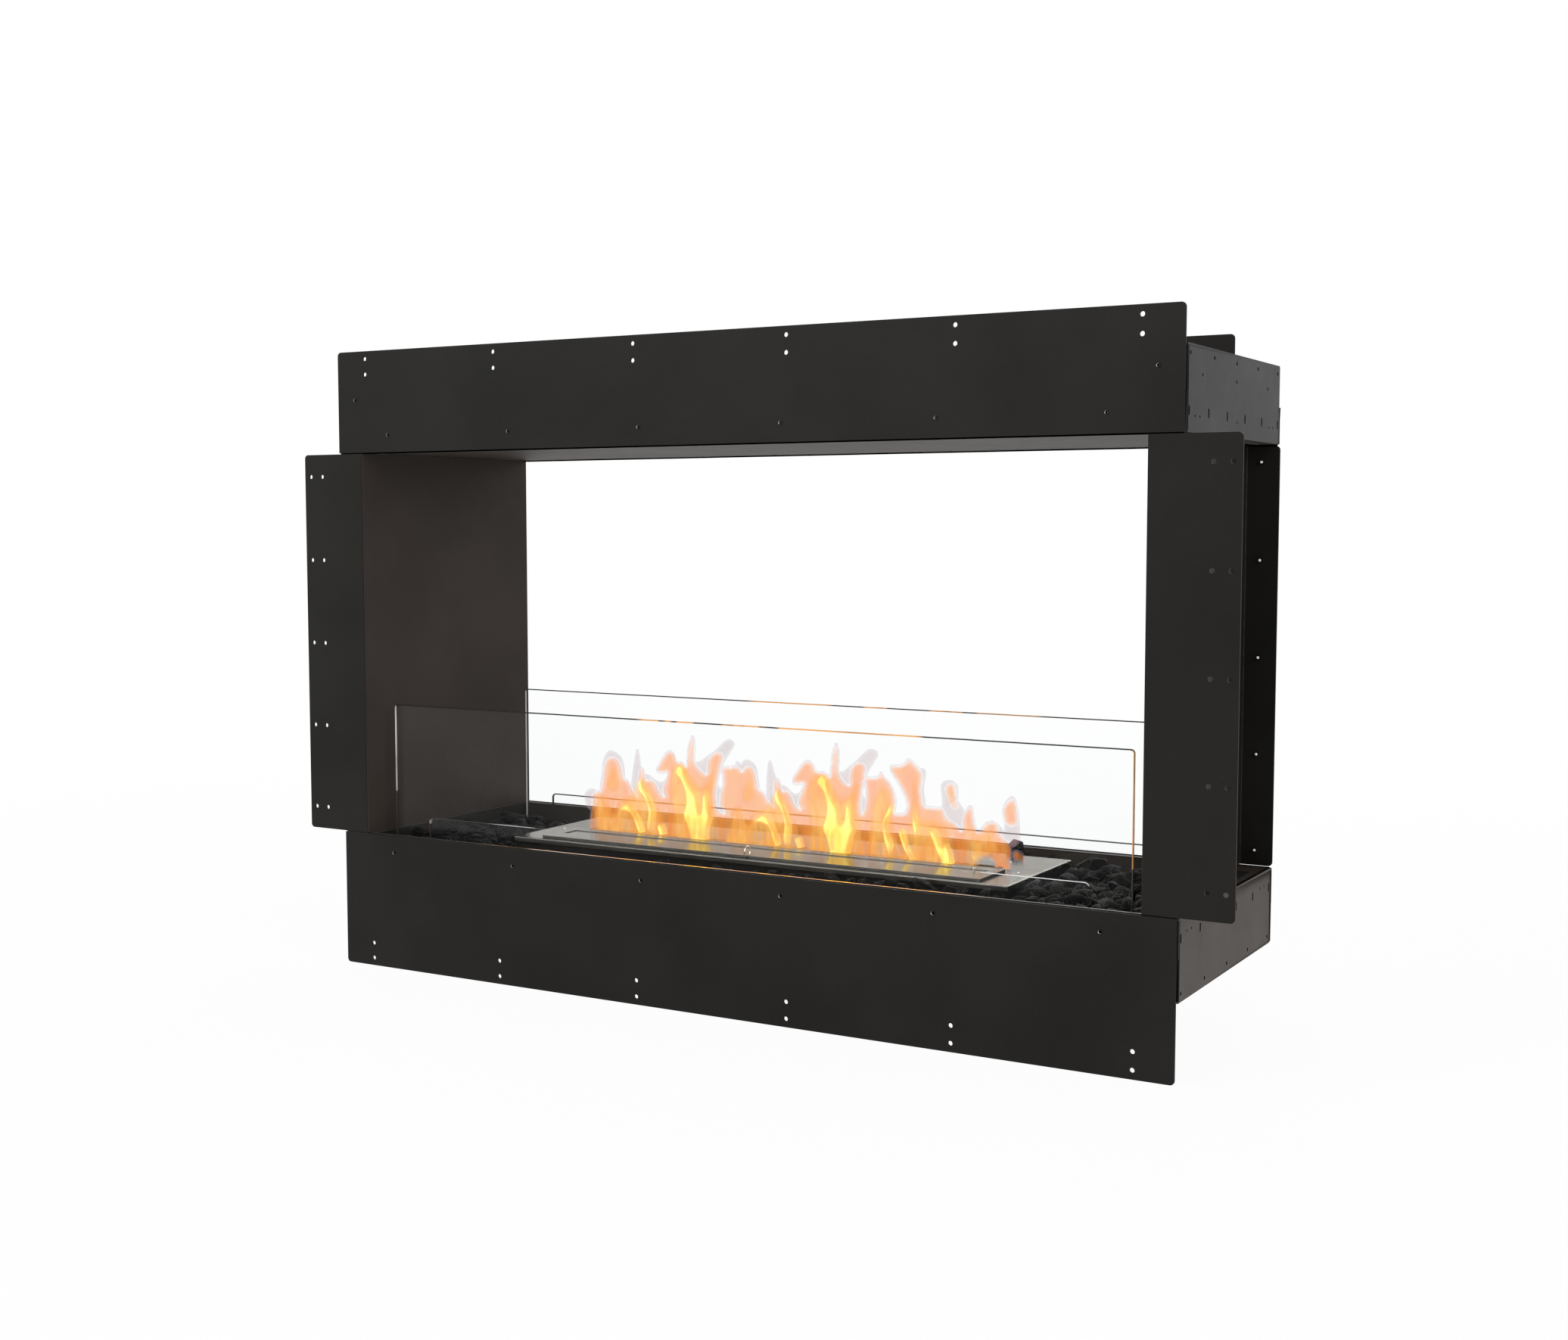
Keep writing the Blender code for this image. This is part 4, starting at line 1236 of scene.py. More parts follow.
    def floor_coat(self, face: bpy.types.MeshPolygon, floor_z: float, top: float, y: float) -> int:
        """Choose the coat of one face of the floor tray.

        Args:
            face: The face.
            floor_z: The height of the pan's floor.
            top: The height of the rim.
            y: Half the tray's width.

        Returns:
            1 for the pan's walls, with the fire's light painted in as a brown tone, 2 for the smooth rim in
            front of it, with the fire's glow painted along it, and else 0.
        """
        place = face.center
        if place.z > top - self.fold and abs(place.y) > self.pan_y - 0.002:
            return 2 if face.normal.z > 0.1 and -y - 0.001 < place.y < 0 else 0
        inside = abs(place.x) < self.pan_x - 0.0005 and abs(place.y) < self.pan_y + 0.0005
        return int(inside and floor_z < place.z)

    def end_holes(self, piece: Piece, z: float, x: float) -> None:
        """Drill the row of holes through both end lips."""
        for side in (-1, 1):
            places = [Vector((side * x, y, z)) for y in spread(5, self.end_pitch)]
            Bench.drill(piece, places, self.end_hole, Axis.X)

    def base(self) -> Piece:
        """Build the tray that the insert stands on."""
        low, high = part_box("base_tray")
        piece = Bench.block("base_tray_sheet", low, (high.x, high.y, low.z + self.sheet))
        self.lips(piece, low.z, high.z, high.x, high.x, high.y)
        self.long_folds(piece, high.y, low.z)
        self.end_holes(piece, self.end_edge, high.x)
        return dress(Bench.finish(piece), BLACK_COAT, "firebox", "base_tray")

    def cover(self) -> Piece:
        """Build the cover of the upper box, with the upstand at its back."""
        low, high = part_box("top_cover")
        top = low.z + self.upstand_foot
        x, y = high.x, high.y
        piece = Bench.block("top_cover_sheet", (-x, -y, top - self.sheet), (x, y, top))
        end_y = y - 2 * (self.sheet + self.fit)
        for side in (-1, 1):
            near, far = sided(side, x - self.sheet, x)
            Bench.weld(piece, (near, -end_y, low.z), (far, end_y, top))
        Bench.weld(piece, (-x, -y, low.z), (x, -y + self.sheet, top))
        upstand = Bench.block(
            "upstand", (-self.upstand_x, y - self.sheet, top - self.sheet), (self.upstand_x, y, high.z)
        )
        Bench.round_edges(upstand, lambda edge: along(edge, 1) and at(edge, 2, high.z), self.corner)
        Bench.combine(piece, upstand, "UNION")
        self.end_holes(piece, top - self.end_edge, x)
        return dress(Bench.finish(piece), BLACK_COAT, "firebox", "top_cover")


@dataclass
class EndPlates(SheetWork):
    """The four plates that close the boxes' ends, with their holes, slots and return flanges."""

    web: float = 0.0012
    fold: float = 0.0015
    return_width: float = 0.045
    hole: float = 0.0045
    hole_edge: float = 0.0095
    hole_pitch: float = 0.0804
    slot: tuple[float, float] = (0.004, 0.0105)
    slot_row: float = 0.0222
    slot_pitch: float = 0.0652
    pilot: float = 0.003
    pilot_row: float = 0.0175
    pilot_places: tuple[float, ...] = (-0.1435, -0.1275, 0.004, 0.1275, 0.1435)
    sight: float = 0.004
    sight_rise: float = 0.061
    sight_pitch: float = 0.1204
    nut_x: float = 0.544
    nut_rise: float = 0.0682

    def build(self) -> list[Piece]:
        """Build all four."""
        words = ((-1, "left"), (1, "right"))
        pieces = [self.plate("top_end_plate_" + word, side, 1) for side, word in words]
        return pieces + [self.plate("bottom_end_plate_" + word, side, -1) for side, word in words]

    def plate(self, node: str, side: int, up: int) -> Piece:
        """Build one end plate.

        Args:
            node: The CAD node that it stands for.
            side: -1 at the left end and 1 at the right one.
            up: 1 over the opening and -1 under it.

        Returns:
            The plate.
        """
        low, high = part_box(node)
        outer = high.x if side > 0 else -low.x
        near, far = sided(side, outer - self.web, outer)
        piece = Bench.block(node + "_sheet", (near, low.y, low.z), (far, high.y, high.z))
        inner, tip = sided(side, outer - self.return_width, outer)
        rest = self.sheet + self.fit
        for end in (-1, 1):
            front, back = sided(end, high.y - self.sheet, high.y)
            Bench.weld(piece, (inner, front, low.z + rest), (tip, back, high.z - rest))
            Bench.round_edges(
                piece,
                lambda edge: along(edge, 2) and at(edge, 0, side * outer) and at(edge, 1, end * high.y),
                self.fold,
                4,
            )
        fold_z, far_z = (low.z, high.z) if up > 0 else (high.z, low.z - self.fit)
        x = side * outer
        self.row(piece, x, far_z - up * self.hole_edge, spread(5, self.hole_pitch), self.hole)
        slots = [Vector((x, y, fold_z + up * self.slot_row)) for y in spread(6, self.slot_pitch)]
        Bench.drill(piece, slots, self.slot[0], Axis.X, height=self.slot[1])
        self.row(piece, x, fold_z + up * self.pilot_row, self.pilot_places, self.pilot)
        if up > 0:
            self.row(piece, x, fold_z + self.sight_rise, spread(3, self.sight_pitch), self.sight)
            nut = Vector((side * self.nut_x, -high.y, fold_z + self.nut_rise))
            Bench.drill(piece, [nut], self.nut_seat, Axis.Y)
        Bench.finish(piece, 0.0003)
        face_x = outer - self.web / 2
        # The outer face takes a lit copy of the coat: painted light.
        pale = LIT_GREY_COAT if up > 0 else LIT_WARM_COAT
        coats(
            piece,
            lambda face: face.normal.x * side > 0.6 and face.center.x * side > face_x,
            BLACK_COAT,
            pale,
        )
        return dress(piece, BLACK_COAT, "firebox", node)

    def row(self, piece: Piece, x: float, z: float, places: Iterable[float], width: float) -> None:
        """Drill a row of round holes through the plate's web."""
        Bench.drill(piece, [Vector((x, y, z)) for y in places], width, Axis.X)


@dataclass
class RivetNuts:
    """The small rivet nuts: a flange with a chamfered bore and a tube behind it."""

    flange: float = 0.0056
    flange_thickness: float = 0.0005
    body: float = 0.0044
    bore: float = 0.0030
    length: float = 0.0075
    chamfer: float = 0.0006
    seat_y: float = 0.1747

    def nut(self) -> Piece:
        """Model one nut with its flange facing -Y and its seat at the origin.

        Returns:
            The nut.
        """
        middle = (0, -self.flange_thickness / 2, 0)
        piece = Bench.rod("nut", middle, self.flange / 2, self.flange_thickness, Axis.Y, 28)
        Bench.pick(piece, Kind.FACE, lambda face: face.normal.y < -SQUARE)
        bpy.ops.mesh.inset(thickness=(self.flange - self.bore) / 2 - self.chamfer)
        bpy.ops.mesh.inset(thickness=self.chamfer, depth=-self.chamfer)
        bpy.ops.mesh.delete(type="FACE")
        Bench.pick(piece, Kind.FACE, lambda face: face.normal.y > SQUARE)
        bpy.ops.mesh.inset(thickness=(self.flange - self.body) / 2)
        Bench.extrude(0, self.length, 0)
        bpy.ops.mesh.inset(thickness=(self.body - self.bore) / 2)
        bpy.ops.mesh.delete(type="FACE")
        Bench.pick(piece, Kind.EDGE, lambda edge: edge.is_boundary)
        bpy.ops.mesh.bridge_edge_loops()
        Bench.done()
        Bench.finish(piece, 0.00008, 35)
        rim = self.bore / 2 + self.chamfer
        coats(
            piece,
            lambda face: face.center.y < 0 and math.hypot(face.center.x, face.center.z) > rim,
            NUT_ZINC,
            BLACK_COAT,
        )
        return piece

    def build(self) -> list[Piece]:
        """Set a nut in every seat.

        Returns:
            The nuts.
        """
        model = self.nut()
        made = []
        for node in sorted(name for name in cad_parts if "rivet_nut" in name):
            low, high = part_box(node)
            end = -1 if low.y + high.y < 0 else 1
            middle = (low + high) / 2
            place = Vector((middle.x, end * self.seat_y, middle.z))
            turn = Matrix.Rotation(0 if end < 0 else math.pi, 4, "Z")
            piece = Bench.copy(model, node + "_turned", Matrix.Translation(place) @ turn)
            made.append(dress(piece, NUT_ZINC, "firebox", node))
        bpy.data.objects.remove(model)
        return made


@dataclass
class GlassScreens:
    """Two tall and two low panes with ground edges, and the channels that they stand in."""

    tall_radius: float = 0.005
    low_radius: float = 0.006
    arris: float = 0.0014
    wall: float = 0.002
    groove: float = 0.0046
    pitch: float = 0.006

    def build(self) -> list[Piece]:
        """Build the panes and the channels."""
        made = []
        for word in ("front", "back"):
            made.append(self.pane("tall_glass_" + word, self.tall_radius))
            made.append(self.pane("low_glass_" + word, self.low_radius))
            made.append(self.channel(word))
        return made

    def pane(self, node: str, radius: float) -> Piece:
        """Build one pane.

        Args:
            node: The CAD node that it stands for.
            radius: The radius of its upper corners.

        Returns:
            The pane.
        """
        low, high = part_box(node)
        piece = Bench.block(node + "_pane", low, high)
        Bench.round_edges(piece, lambda edge: along(edge, 1) and at(edge, 2, high.z), radius, 8)
        Bench.finish(piece, self.arris, 25)
        kinds = (GLASS, TOP_EDGE, BRIGHT_EDGE, HALF_SHADED_EDGE, TICK_EDGE, AMBER_EDGE, DARK_EDGE, SHADED_EDGE)
        coats(piece, lambda face: kinds.index(self.edge_of(face, node)), *kinds)
        return dress(piece, GLASS, "firebox", node)

    @staticmethod
    def edge_of(face: bpy.types.MeshPolygon, node: str) -> Finish:
        """Choose the finish of a pane's face.

        Args:
            face: A face of the pane.
            node: The pane's CAD node.

        Returns:
            Clear glass for the large faces, and for the rest the look that the photo shows on that edge.
        """
        # Each edge takes a finish with its painted highlight, shade or fire glow.
        normal = face.normal
        if abs(normal.y) > 0.96:
            return GLASS
        if node == "low_glass_back":
            return SHADED_EDGE
        if normal.z > 0.3:
            return DARK_EDGE if node.startswith("tall") else TOP_EDGE if abs(normal.y) < 0.75 else GLASS
        if node == "low_glass_front":
            return TICK_EDGE if normal.x < 0 else GLASS
        if normal.x > 0:
            return AMBER_EDGE if node == "tall_glass_front" else BRIGHT_EDGE
        if normal.y > 0.75:
            return SHADED_EDGE
        return HALF_SHADED_EDGE if node == "tall_glass_front" else BRIGHT_EDGE

    def channel(self, word: str) -> Piece:
        """Build the channel on the pan's floor at the front or the back."""
        node = word + "_glass_channel"
        low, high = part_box(node)
        piece = Bench.block(node + "_strip", low, high)
        for pane in ("tall_glass_", "low_glass_"):
            inner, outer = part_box(pane + word)
            y = (inner.y + outer.y) / 2
            half = self.groove / 2
            Bench.mill(piece, (-1, y - half, low.z + self.wall), (1, y + half, high.z + PAST))
        return dress(Bench.finish(piece, 0.0002), ZINC, "firebox", node)


@dataclass
class Burner:
    """The burner: slotted top plate with a turned-down lip, tray, tank and wick."""

    sheet: float = 0.0015
    edge: float = 0.0014
    slot_x: float = 0.300
    slot_y: float = 0.014
    corner: float = 0.002
    rivet: float = 0.0016
    rivet_height: float = 0.0006
    trough_wall: float = 0.006
    trough_depth: float = 0.0015
    rivets: tuple[tuple[float, float], ...] = ((-0.3290, -0.0165), (0.3290, -0.0165), (0.2921, 0.0457))

    def build(self) -> list[Piece]:
        """Build the burner's pieces."""
        plate = [self.top_plate(), self.rivet_heads()]
        boxes = [self.open_box("burner_tray", BLACK_COAT), self.open_box("fuel_tank", PLAIN_STEEL)]
        return [*plate, *boxes, self.wick()]

    def top_plate(self) -> Piece:
        """Build the top plate as a pressed tray turned over, then cut its slot.

        Returns:
            The plate.
        """
        low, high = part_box("burner_top_plate")
        piece = Bench.block("burner_top_plate_pressing", low, high)
        Bench.pick(piece, Kind.FACE, lambda face: face.normal.z < -SQUARE)
        bpy.ops.mesh.delete(type="FACE")
        Bench.pick(piece, Kind.EDGE, lambda edge: at(edge, 2, high.z) or along(edge, 2))
        bpy.ops.mesh.bevel(offset=self.edge, segments=4, affect="EDGES")
        Bench.done()
        Bench.apply(piece, "SOLIDIFY", thickness=self.sheet, offset=-1.0)
        under, over = low.z - PAST, high.z + PAST
        Bench.mill(piece, (-self.slot_x, -self.slot_y, under), (self.slot_x, self.slot_y, over))
        Bench.finish(piece, 0.0003)
        # Faces that don't face up take the steel with painted shade.
        coats(piece, lambda face: face.normal.z < 0.85 and abs(face.center.y) > 0.02, STEEL, SHADED_STEEL)
        return dress(piece, STEEL, "firebox", "burner_top_plate")

    def rivet_heads(self) -> Piece:
        """Build the small round heads on the plate.

        Returns:
            The heads as one piece.
        """
        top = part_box("burner_top_plate")[1].z
        middle = (0, 0, top + self.rivet_height / 2)
        head = Bench.rod("head", middle, self.rivet, self.rivet_height, Axis.Z, 20)
        Bench.pick(head, Kind.FACE, lambda face: face.normal.z > SQUARE)
        bpy.ops.mesh.inset(thickness=self.rivet * 0.35, depth=self.rivet_height / 2)
        Bench.done()
        Bench.finish(head, 0.0001, 40)
        heads = [Bench.copy(head, "head", Matrix.Translation((x, y, 0))) for x, y in self.rivets]
        bpy.data.objects.remove(head)
        return dress(Bench.join(heads, "burner_plate_rivets"), PLAIN_STEEL, "firebox")

    def open_box(self, node: str, finish: Finish) -> Piece:
        """Build a thin-walled box, open at its top.

        Args:
            node: The CAD node that it stands for.
            finish: Its finish.

        Returns:
            The box.
        """
        low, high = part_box(node)
        piece = Bench.block(node + "_box", low, high)
        Bench.round_edges(piece, lambda edge: along(edge, 2), self.corner, 3)
        Bench.hollow(piece, self.sheet, high.z - low.z - self.sheet)
        return dress(Bench.finish(piece, 0.0003), finish, "firebox", node)

    def wick(self) -> Piece:
        """Build the fibre block, its top pressed into a shallow trough."""
        low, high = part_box("wick_block")
        piece = Bench.block("wick_block_fibre", low, high)
        Bench.hollow(piece, self.trough_wall, self.trough_depth)
        return dress(Bench.finish(piece, 0.0008), FIBRE, "firebox", "wick_block")


@dataclass
class Lid:
    """The burner's sliding lid with its long groove, its pull ring and its pin."""

    sheet: float = 0.001
    groove_x: float = 0.298
    groove_y: tuple[float, float] = (-0.060, -0.032)
    groove_depth: float = 0.001
    corner: float = 0.0015
    ring_radius: float = 0.0066
    wire: float = 0.0008
    ring_room: float = 0.0003
    pin_hole: float = 0.003
    pin_x: float = 0.285
    pin_y: float = -0.046

    def build(self) -> list[Piece]:
        """Build the lid's pieces."""
        return [self.strip(), self.ring(), self.pin()]

    def strip(self) -> Piece:
        """Build the lid: a pressed strip, hollow beneath, with a trough along it.

        Returns:
            The lid.
        """
        low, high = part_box("burner_lid")
        piece = Bench.block("burner_lid_pressing", low, high)
        Bench.round_edges(piece, lambda edge: along(edge, 2), self.corner, 3)
        Bench.hollow(piece, self.sheet, high.z - low.z - self.sheet, -1)
        floor_z = high.z - self.groove_depth
        near, far = self.groove_y
        Bench.weld(
            piece,
            (-self.groove_x - self.sheet, near - self.sheet, floor_z - self.sheet / 2),
            (self.groove_x + self.sheet, far + self.sheet, high.z - self.sheet / 2),
        )
        Bench.mill(piece, (-self.groove_x, near, floor_z), (self.groove_x, far, high.z + PAST))
        half = self.wire + self.ring_room
        ring_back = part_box("lid_pull_ring")[1].y + self.ring_room
        Bench.mill(piece, (-half, low.y - PAST, low.z - PAST), (half, ring_back, high.z + PAST))
        Bench.drill(piece, [Vector((self.pin_x, self.pin_y, high.z))], self.pin_hole, Axis.Z, 2 * PAST)
        Bench.finish(piece, 0.0002)
        # Faces that don't face up take the steel with painted shade.
        coats(piece, lambda face: face.normal.z < 0.85, STEEL, SHADED_STEEL)
        return dress(piece, STEEL, "lid", "burner_lid")

    def ring(self) -> Piece:
        """Bend a wire round into the pull ring, with the bead of its weld at the bottom.

        Returns:
            The ring.
        """
        low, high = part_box("lid_pull_ring")
        middle = (low + high) / 2
        Bench.clear()
        start = Vector((middle.x, middle.y + self.ring_radius, middle.z))
        bpy.ops.mesh.primitive_circle_add(vertices=14, radius=self.wire, location=start)
        piece = Bench.settle("lid_pull_ring_wire")
        Bench.pick_all(piece, Kind.EDGE)
        bpy.ops.mesh.spin(steps=56, angle=math.tau, center=middle, axis=(1, 0, 0), dupli=False)
        bpy.ops.mesh.select_all(action="SELECT")
        bpy.ops.mesh.remove_doubles(threshold=1e-5)
        Bench.done()
        Bench.pick(piece, Kind.POINT, lambda point: (point.co - start).length < 1.35 * self.wire)
        bpy.ops.transform.resize(value=(0.86, 0.86, 1.0), center_override=start)
        Bench.done()
        return dress(Bench.finish(piece, 0, 60), PLAIN_STEEL, "lid", "lid_pull_ring")

    def pin(self) -> Piece:
        """Turn the small pin: a necked peg with a rounded top.

        Returns:
            The pin.
        """
        low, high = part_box("lid_pin")
        middle = (low + high) / 2
        radius = (high.x - low.x) / 2
        piece = Bench.rod("lid_pin_peg", middle, radius, high.z - low.z, Axis.Z, 28)
        Bench.pick(piece, Kind.FACE, lambda face: face.normal.z > SQUARE)
        bpy.ops.mesh.bevel(offset=0.0004, segments=3, affect="EDGES")
        neck = high.z - 0.0019
        for rise in (-0.0007, -0.0003, 0.0003, 0.0007):
            Bench.pick_all(piece, Kind.FACE)
            bpy.ops.mesh.bisect(plane_co=(0, 0, neck + rise), plane_no=(0, 0, 1))
        Bench.pick(piece, Kind.POINT, lambda point: abs(point.co.z - neck) < 0.0004)
        bpy.ops.transform.resize(value=(0.74, 0.74, 1.0), center_override=(middle.x, middle.y, neck))
        Bench.done()
        return dress(Bench.finish(piece, 0, 40), PLAIN_STEEL, "lid", "lid_pin")


# Single stones that stand out of a bed, each with its x, y, the height of its top, and its size.
PROUD_STONES: dict[str, tuple[tuple[float, float, float, float], ...]] = {
    "front": (
        (-0.286, -0.113, 0.0820, 0.80), (-0.105, -0.113, 0.0845, 0.70), (-0.010, -0.112, 0.0815, 0.70),
        (0.060, -0.114, 0.0850, 1.00), (0.098, -0.112, 0.0848, 0.85), (0.134, -0.114, 0.0865, 0.90),
        (0.176, -0.113, 0.0860, 0.75), (0.214, -0.114, 0.0900, 0.85), (0.256, -0.113, 0.0950, 1.25),
        (0.292, -0.114, 0.0900, 0.90), (0.330, -0.113, 0.0910, 0.90),
    ),
    "right": (
        (0.372, 0.116, 0.0950, 1.25), (0.396, 0.114, 0.0870, 1.00), (0.430, 0.115, 0.0850, 1.10),
        (0.466, 0.112, 0.0860, 1.05), (0.500, 0.110, 0.0840, 1.00), (0.385, 0.070, 0.0850, 1.15),
        (0.425, 0.060, 0.0860, 1.25), (0.475, 0.055, 0.0840, 1.15), (0.510, 0.020, 0.0830, 1.05),
        (0.400, 0.010, 0.0820, 1.10), (0.450, 0.000, 0.0850, 1.25), (0.490, -0.040, 0.0820, 1.10),
        (0.420, -0.050, 0.0810, 1.15), (0.460, -0.085, 0.0830, 1.20), (0.505, -0.095, 0.0800, 1.05),
        (0.385, -0.100, 0.0800, 1.00),
    ),
    "left": (
        (-0.400, -0.090, 0.0780, 1.00), (-0.455, -0.060, 0.0800, 1.10), (-0.500, 0.010, 0.0800, 1.00),
        (-0.430, 0.040, 0.0790, 1.10), (-0.480, 0.085, 0.0780, 1.05), (-0.405, 0.095, 0.0780, 1.00),
    ),
    "back": (
        (0.271, 0.1135, 0.1065, 1.30), (0.310, 0.1135, 0.0930, 1.00), (0.238, 0.1135, 0.0920, 0.90),
    ),
}


@dataclass
class StoneBeds:
    """Loose crushed stones that fill the pan round the burner."""

    shapes: int = 8
    radius: float = 0.0138
    pitch: float = 0.0150
    seed: int = 41
    dome: float = 0.0003
    usual_width: float = 0.024
    front_clear_x: float = -0.05

    def build(self) -> list[Piece]:
        """Fill every bed.

        Returns:
            The beds, each one piece.
        """
        chips = [self.chip(i) for i in range(self.shapes)]
        made = []
        words = ("left", "right", "front", "back", "outer_front", "outer_back")
        for i, word in enumerate(words):
            made.append(self.bed(word, chips, random.Random(self.seed + i)))
        for chip in chips:
            bpy.data.objects.remove(chip)
        return made

    def chip(self, number: int) -> Piece:
        """Break one stone: a rough ball with flat faces struck off and every face domed a little.

        Args:
            number: Which of the shapes it is.

        Returns:
            The stone, about its own middle, with 1 painted on the corners of its faces.
        """
        draw = random.Random(self.seed * 7 + number)
        Bench.clear()
        bpy.ops.mesh.primitive_ico_sphere_add(subdivisions=1, radius=self.radius)
        piece = Bench.settle(f"chip_{number}")
        for _ in range(3):
            Bench.pick_all(piece, Kind.FACE)
            normal = Vector((draw.gauss(0, 1), draw.gauss(0, 1), draw.gauss(0, 1))).normalized()
            point = normal * self.radius * draw.uniform(0.35, 0.62)
            bpy.ops.mesh.bisect(plane_co=point, plane_no=normal, use_fill=True, clear_outer=True)
        Bench.pick_all(piece, Kind.POINT)
        stretch = (draw.uniform(1.0, 1.4), draw.uniform(0.75, 1.05), draw.uniform(0.50, 0.75))
        bpy.ops.transform.resize(value=stretch, center_override=(0, 0, 0))
        Bench.done()
        corners = len(piece.data.vertices)
        Bench.pick_all(piece, Kind.FACE)
        bpy.ops.mesh.poke(offset=self.dome)
        Bench.done()
        marks = [float(i < corners) for i in range(len(piece.data.vertices))]
        Bench.paint(piece.data, "edge", marks)
        return piece

    def places(
        self, word: str, low: Vector, high: Vector, scale: float, draw: random.Random
    ) -> list[tuple[float, float, float, float, bool]]:
        """Give each stone of a bed its place and size, layer by layer, then the proud ones.

        Args:
            word: The bed's name.
            low: The bed's lowest corner.
            high: Its highest corner.
            scale: The size of its stones.
            draw: Where the chances come from.

        Returns:
            For each stone its x, y, the height of its bottom or its top, its size, and whether that
            height is its top's.
        """
        piled = {"front": 2, "back": 2, "right": 2, "left": 1}
        layers = (0.0, 0.0050, 0.0092, 0.0145, 0.0195)[: 3 + piled.get(word, 0)]
        found = []
        for layer, spacing in zip(layers, (1.0, 1.1, 1.25, 1.5, 1.9)):
            pitch = self.pitch * scale * spacing
            count_x = max(2, round((high.x - low.x) / pitch))
            count_y = max(1, round((high.y - low.y) / pitch))
            for i in range(count_x):
                for j in range(count_y):
                    x = low.x + (i + draw.uniform(0.1, 0.9)) * (high.x - low.x) / count_x
                    y = low.y + (j + draw.uniform(0.1, 0.9)) * (high.y - low.y) / count_y
                    size = scale * draw.uniform(0.60, 1.15)
                    if word != "front" or layer < 0.009 or x > self.front_clear_x:
                        found.append((x, y, low.z + layer, size, False))
        for x, y, top, size in PROUD_STONES.get(word, ()):
            for shift, drop in ((0.0, 0.0), (0.006, 0.011), (-0.007, 0.020)):
                found.append((x + shift, y, top - drop, size, True))
        return found

    def bed(self, word: str, chips: Sequence[Piece], draw: random.Random) -> Piece:
        """Fill one bed, each stone kept inside its plan.

        Args:
            word: The bed's name.
            chips: The stones' shapes.
            draw: Where the chances come from.

        Returns:
            The bed.
        """
        node = "stone_bed_" + word
        low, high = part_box(node)
        scale = min(1.0, min(high.x - low.x, high.y - low.y) / self.usual_width)
        points, faces, marks = [], [], []
        for x, y, height, size, is_top in self.places(word, low, high, scale, draw):
            turn = Euler([draw.uniform(-0.6, 0.6), draw.uniform(-0.6, 0.6), draw.uniform(0, math.tau)])
            chip = draw.choice(chips).data
            placed = turn.to_matrix().to_4x4() @ Matrix.Scale(size, 4)
            around = [placed @ point.co for point in chip.vertices]
            ends = [(min(p[k] for p in around), max(p[k] for p in around)) for k in range(3)]
            x = min(max(x, low.x - ends[0][0]), high.x - ends[0][1])
            y = min(max(y, low.y - ends[1][0]), high.y - ends[1][1])
            z = height - ends[2][1] if is_top else height - ends[2][0]
            first = len(points)
            points += [(p.x + x, p.y + y, max(p.z + z, low.z)) for p in around]
            faces += [[first + i for i in face.vertices] for face in chip.polygons]
            marks += [entry.value for entry in chip.attributes["edge"].data]
        mesh = bpy.data.meshes.new(node + "_chips")
        mesh.from_pydata(points, [], faces)
        Bench.paint(mesh, "edge", marks)
        piece = Bench.add(node + "_chips", mesh)
        Bench.take(piece)
        bpy.ops.object.shade_smooth_by_angle(angle=math.radians(38))
        # The left bed takes the stone with painted shade.
        return dress(piece, SHADED_STONE if word == "left" else STONE, "firebox", node)


@dataclass(frozen=True)
class Layer:
    """One kind of gas in the fire, drawn as closed outlines in the upright plane of the slot.

    Attributes:
        name: The layer's name.
        finish: Its finish.
        deep: Half its thickness where it is thickest.
        reach: How far in from its rim it grows thicker and denser.
        twice: Outlines that come again one repeat further along the slot.
        once: Outlines that come once. A point is along the slot and over the plate, in millimetres.
    """

    name: str
    finish: Fire
    deep: float
    reach: float
    twice: tuple[Outline, ...]
    once: tuple[Outline, ...]


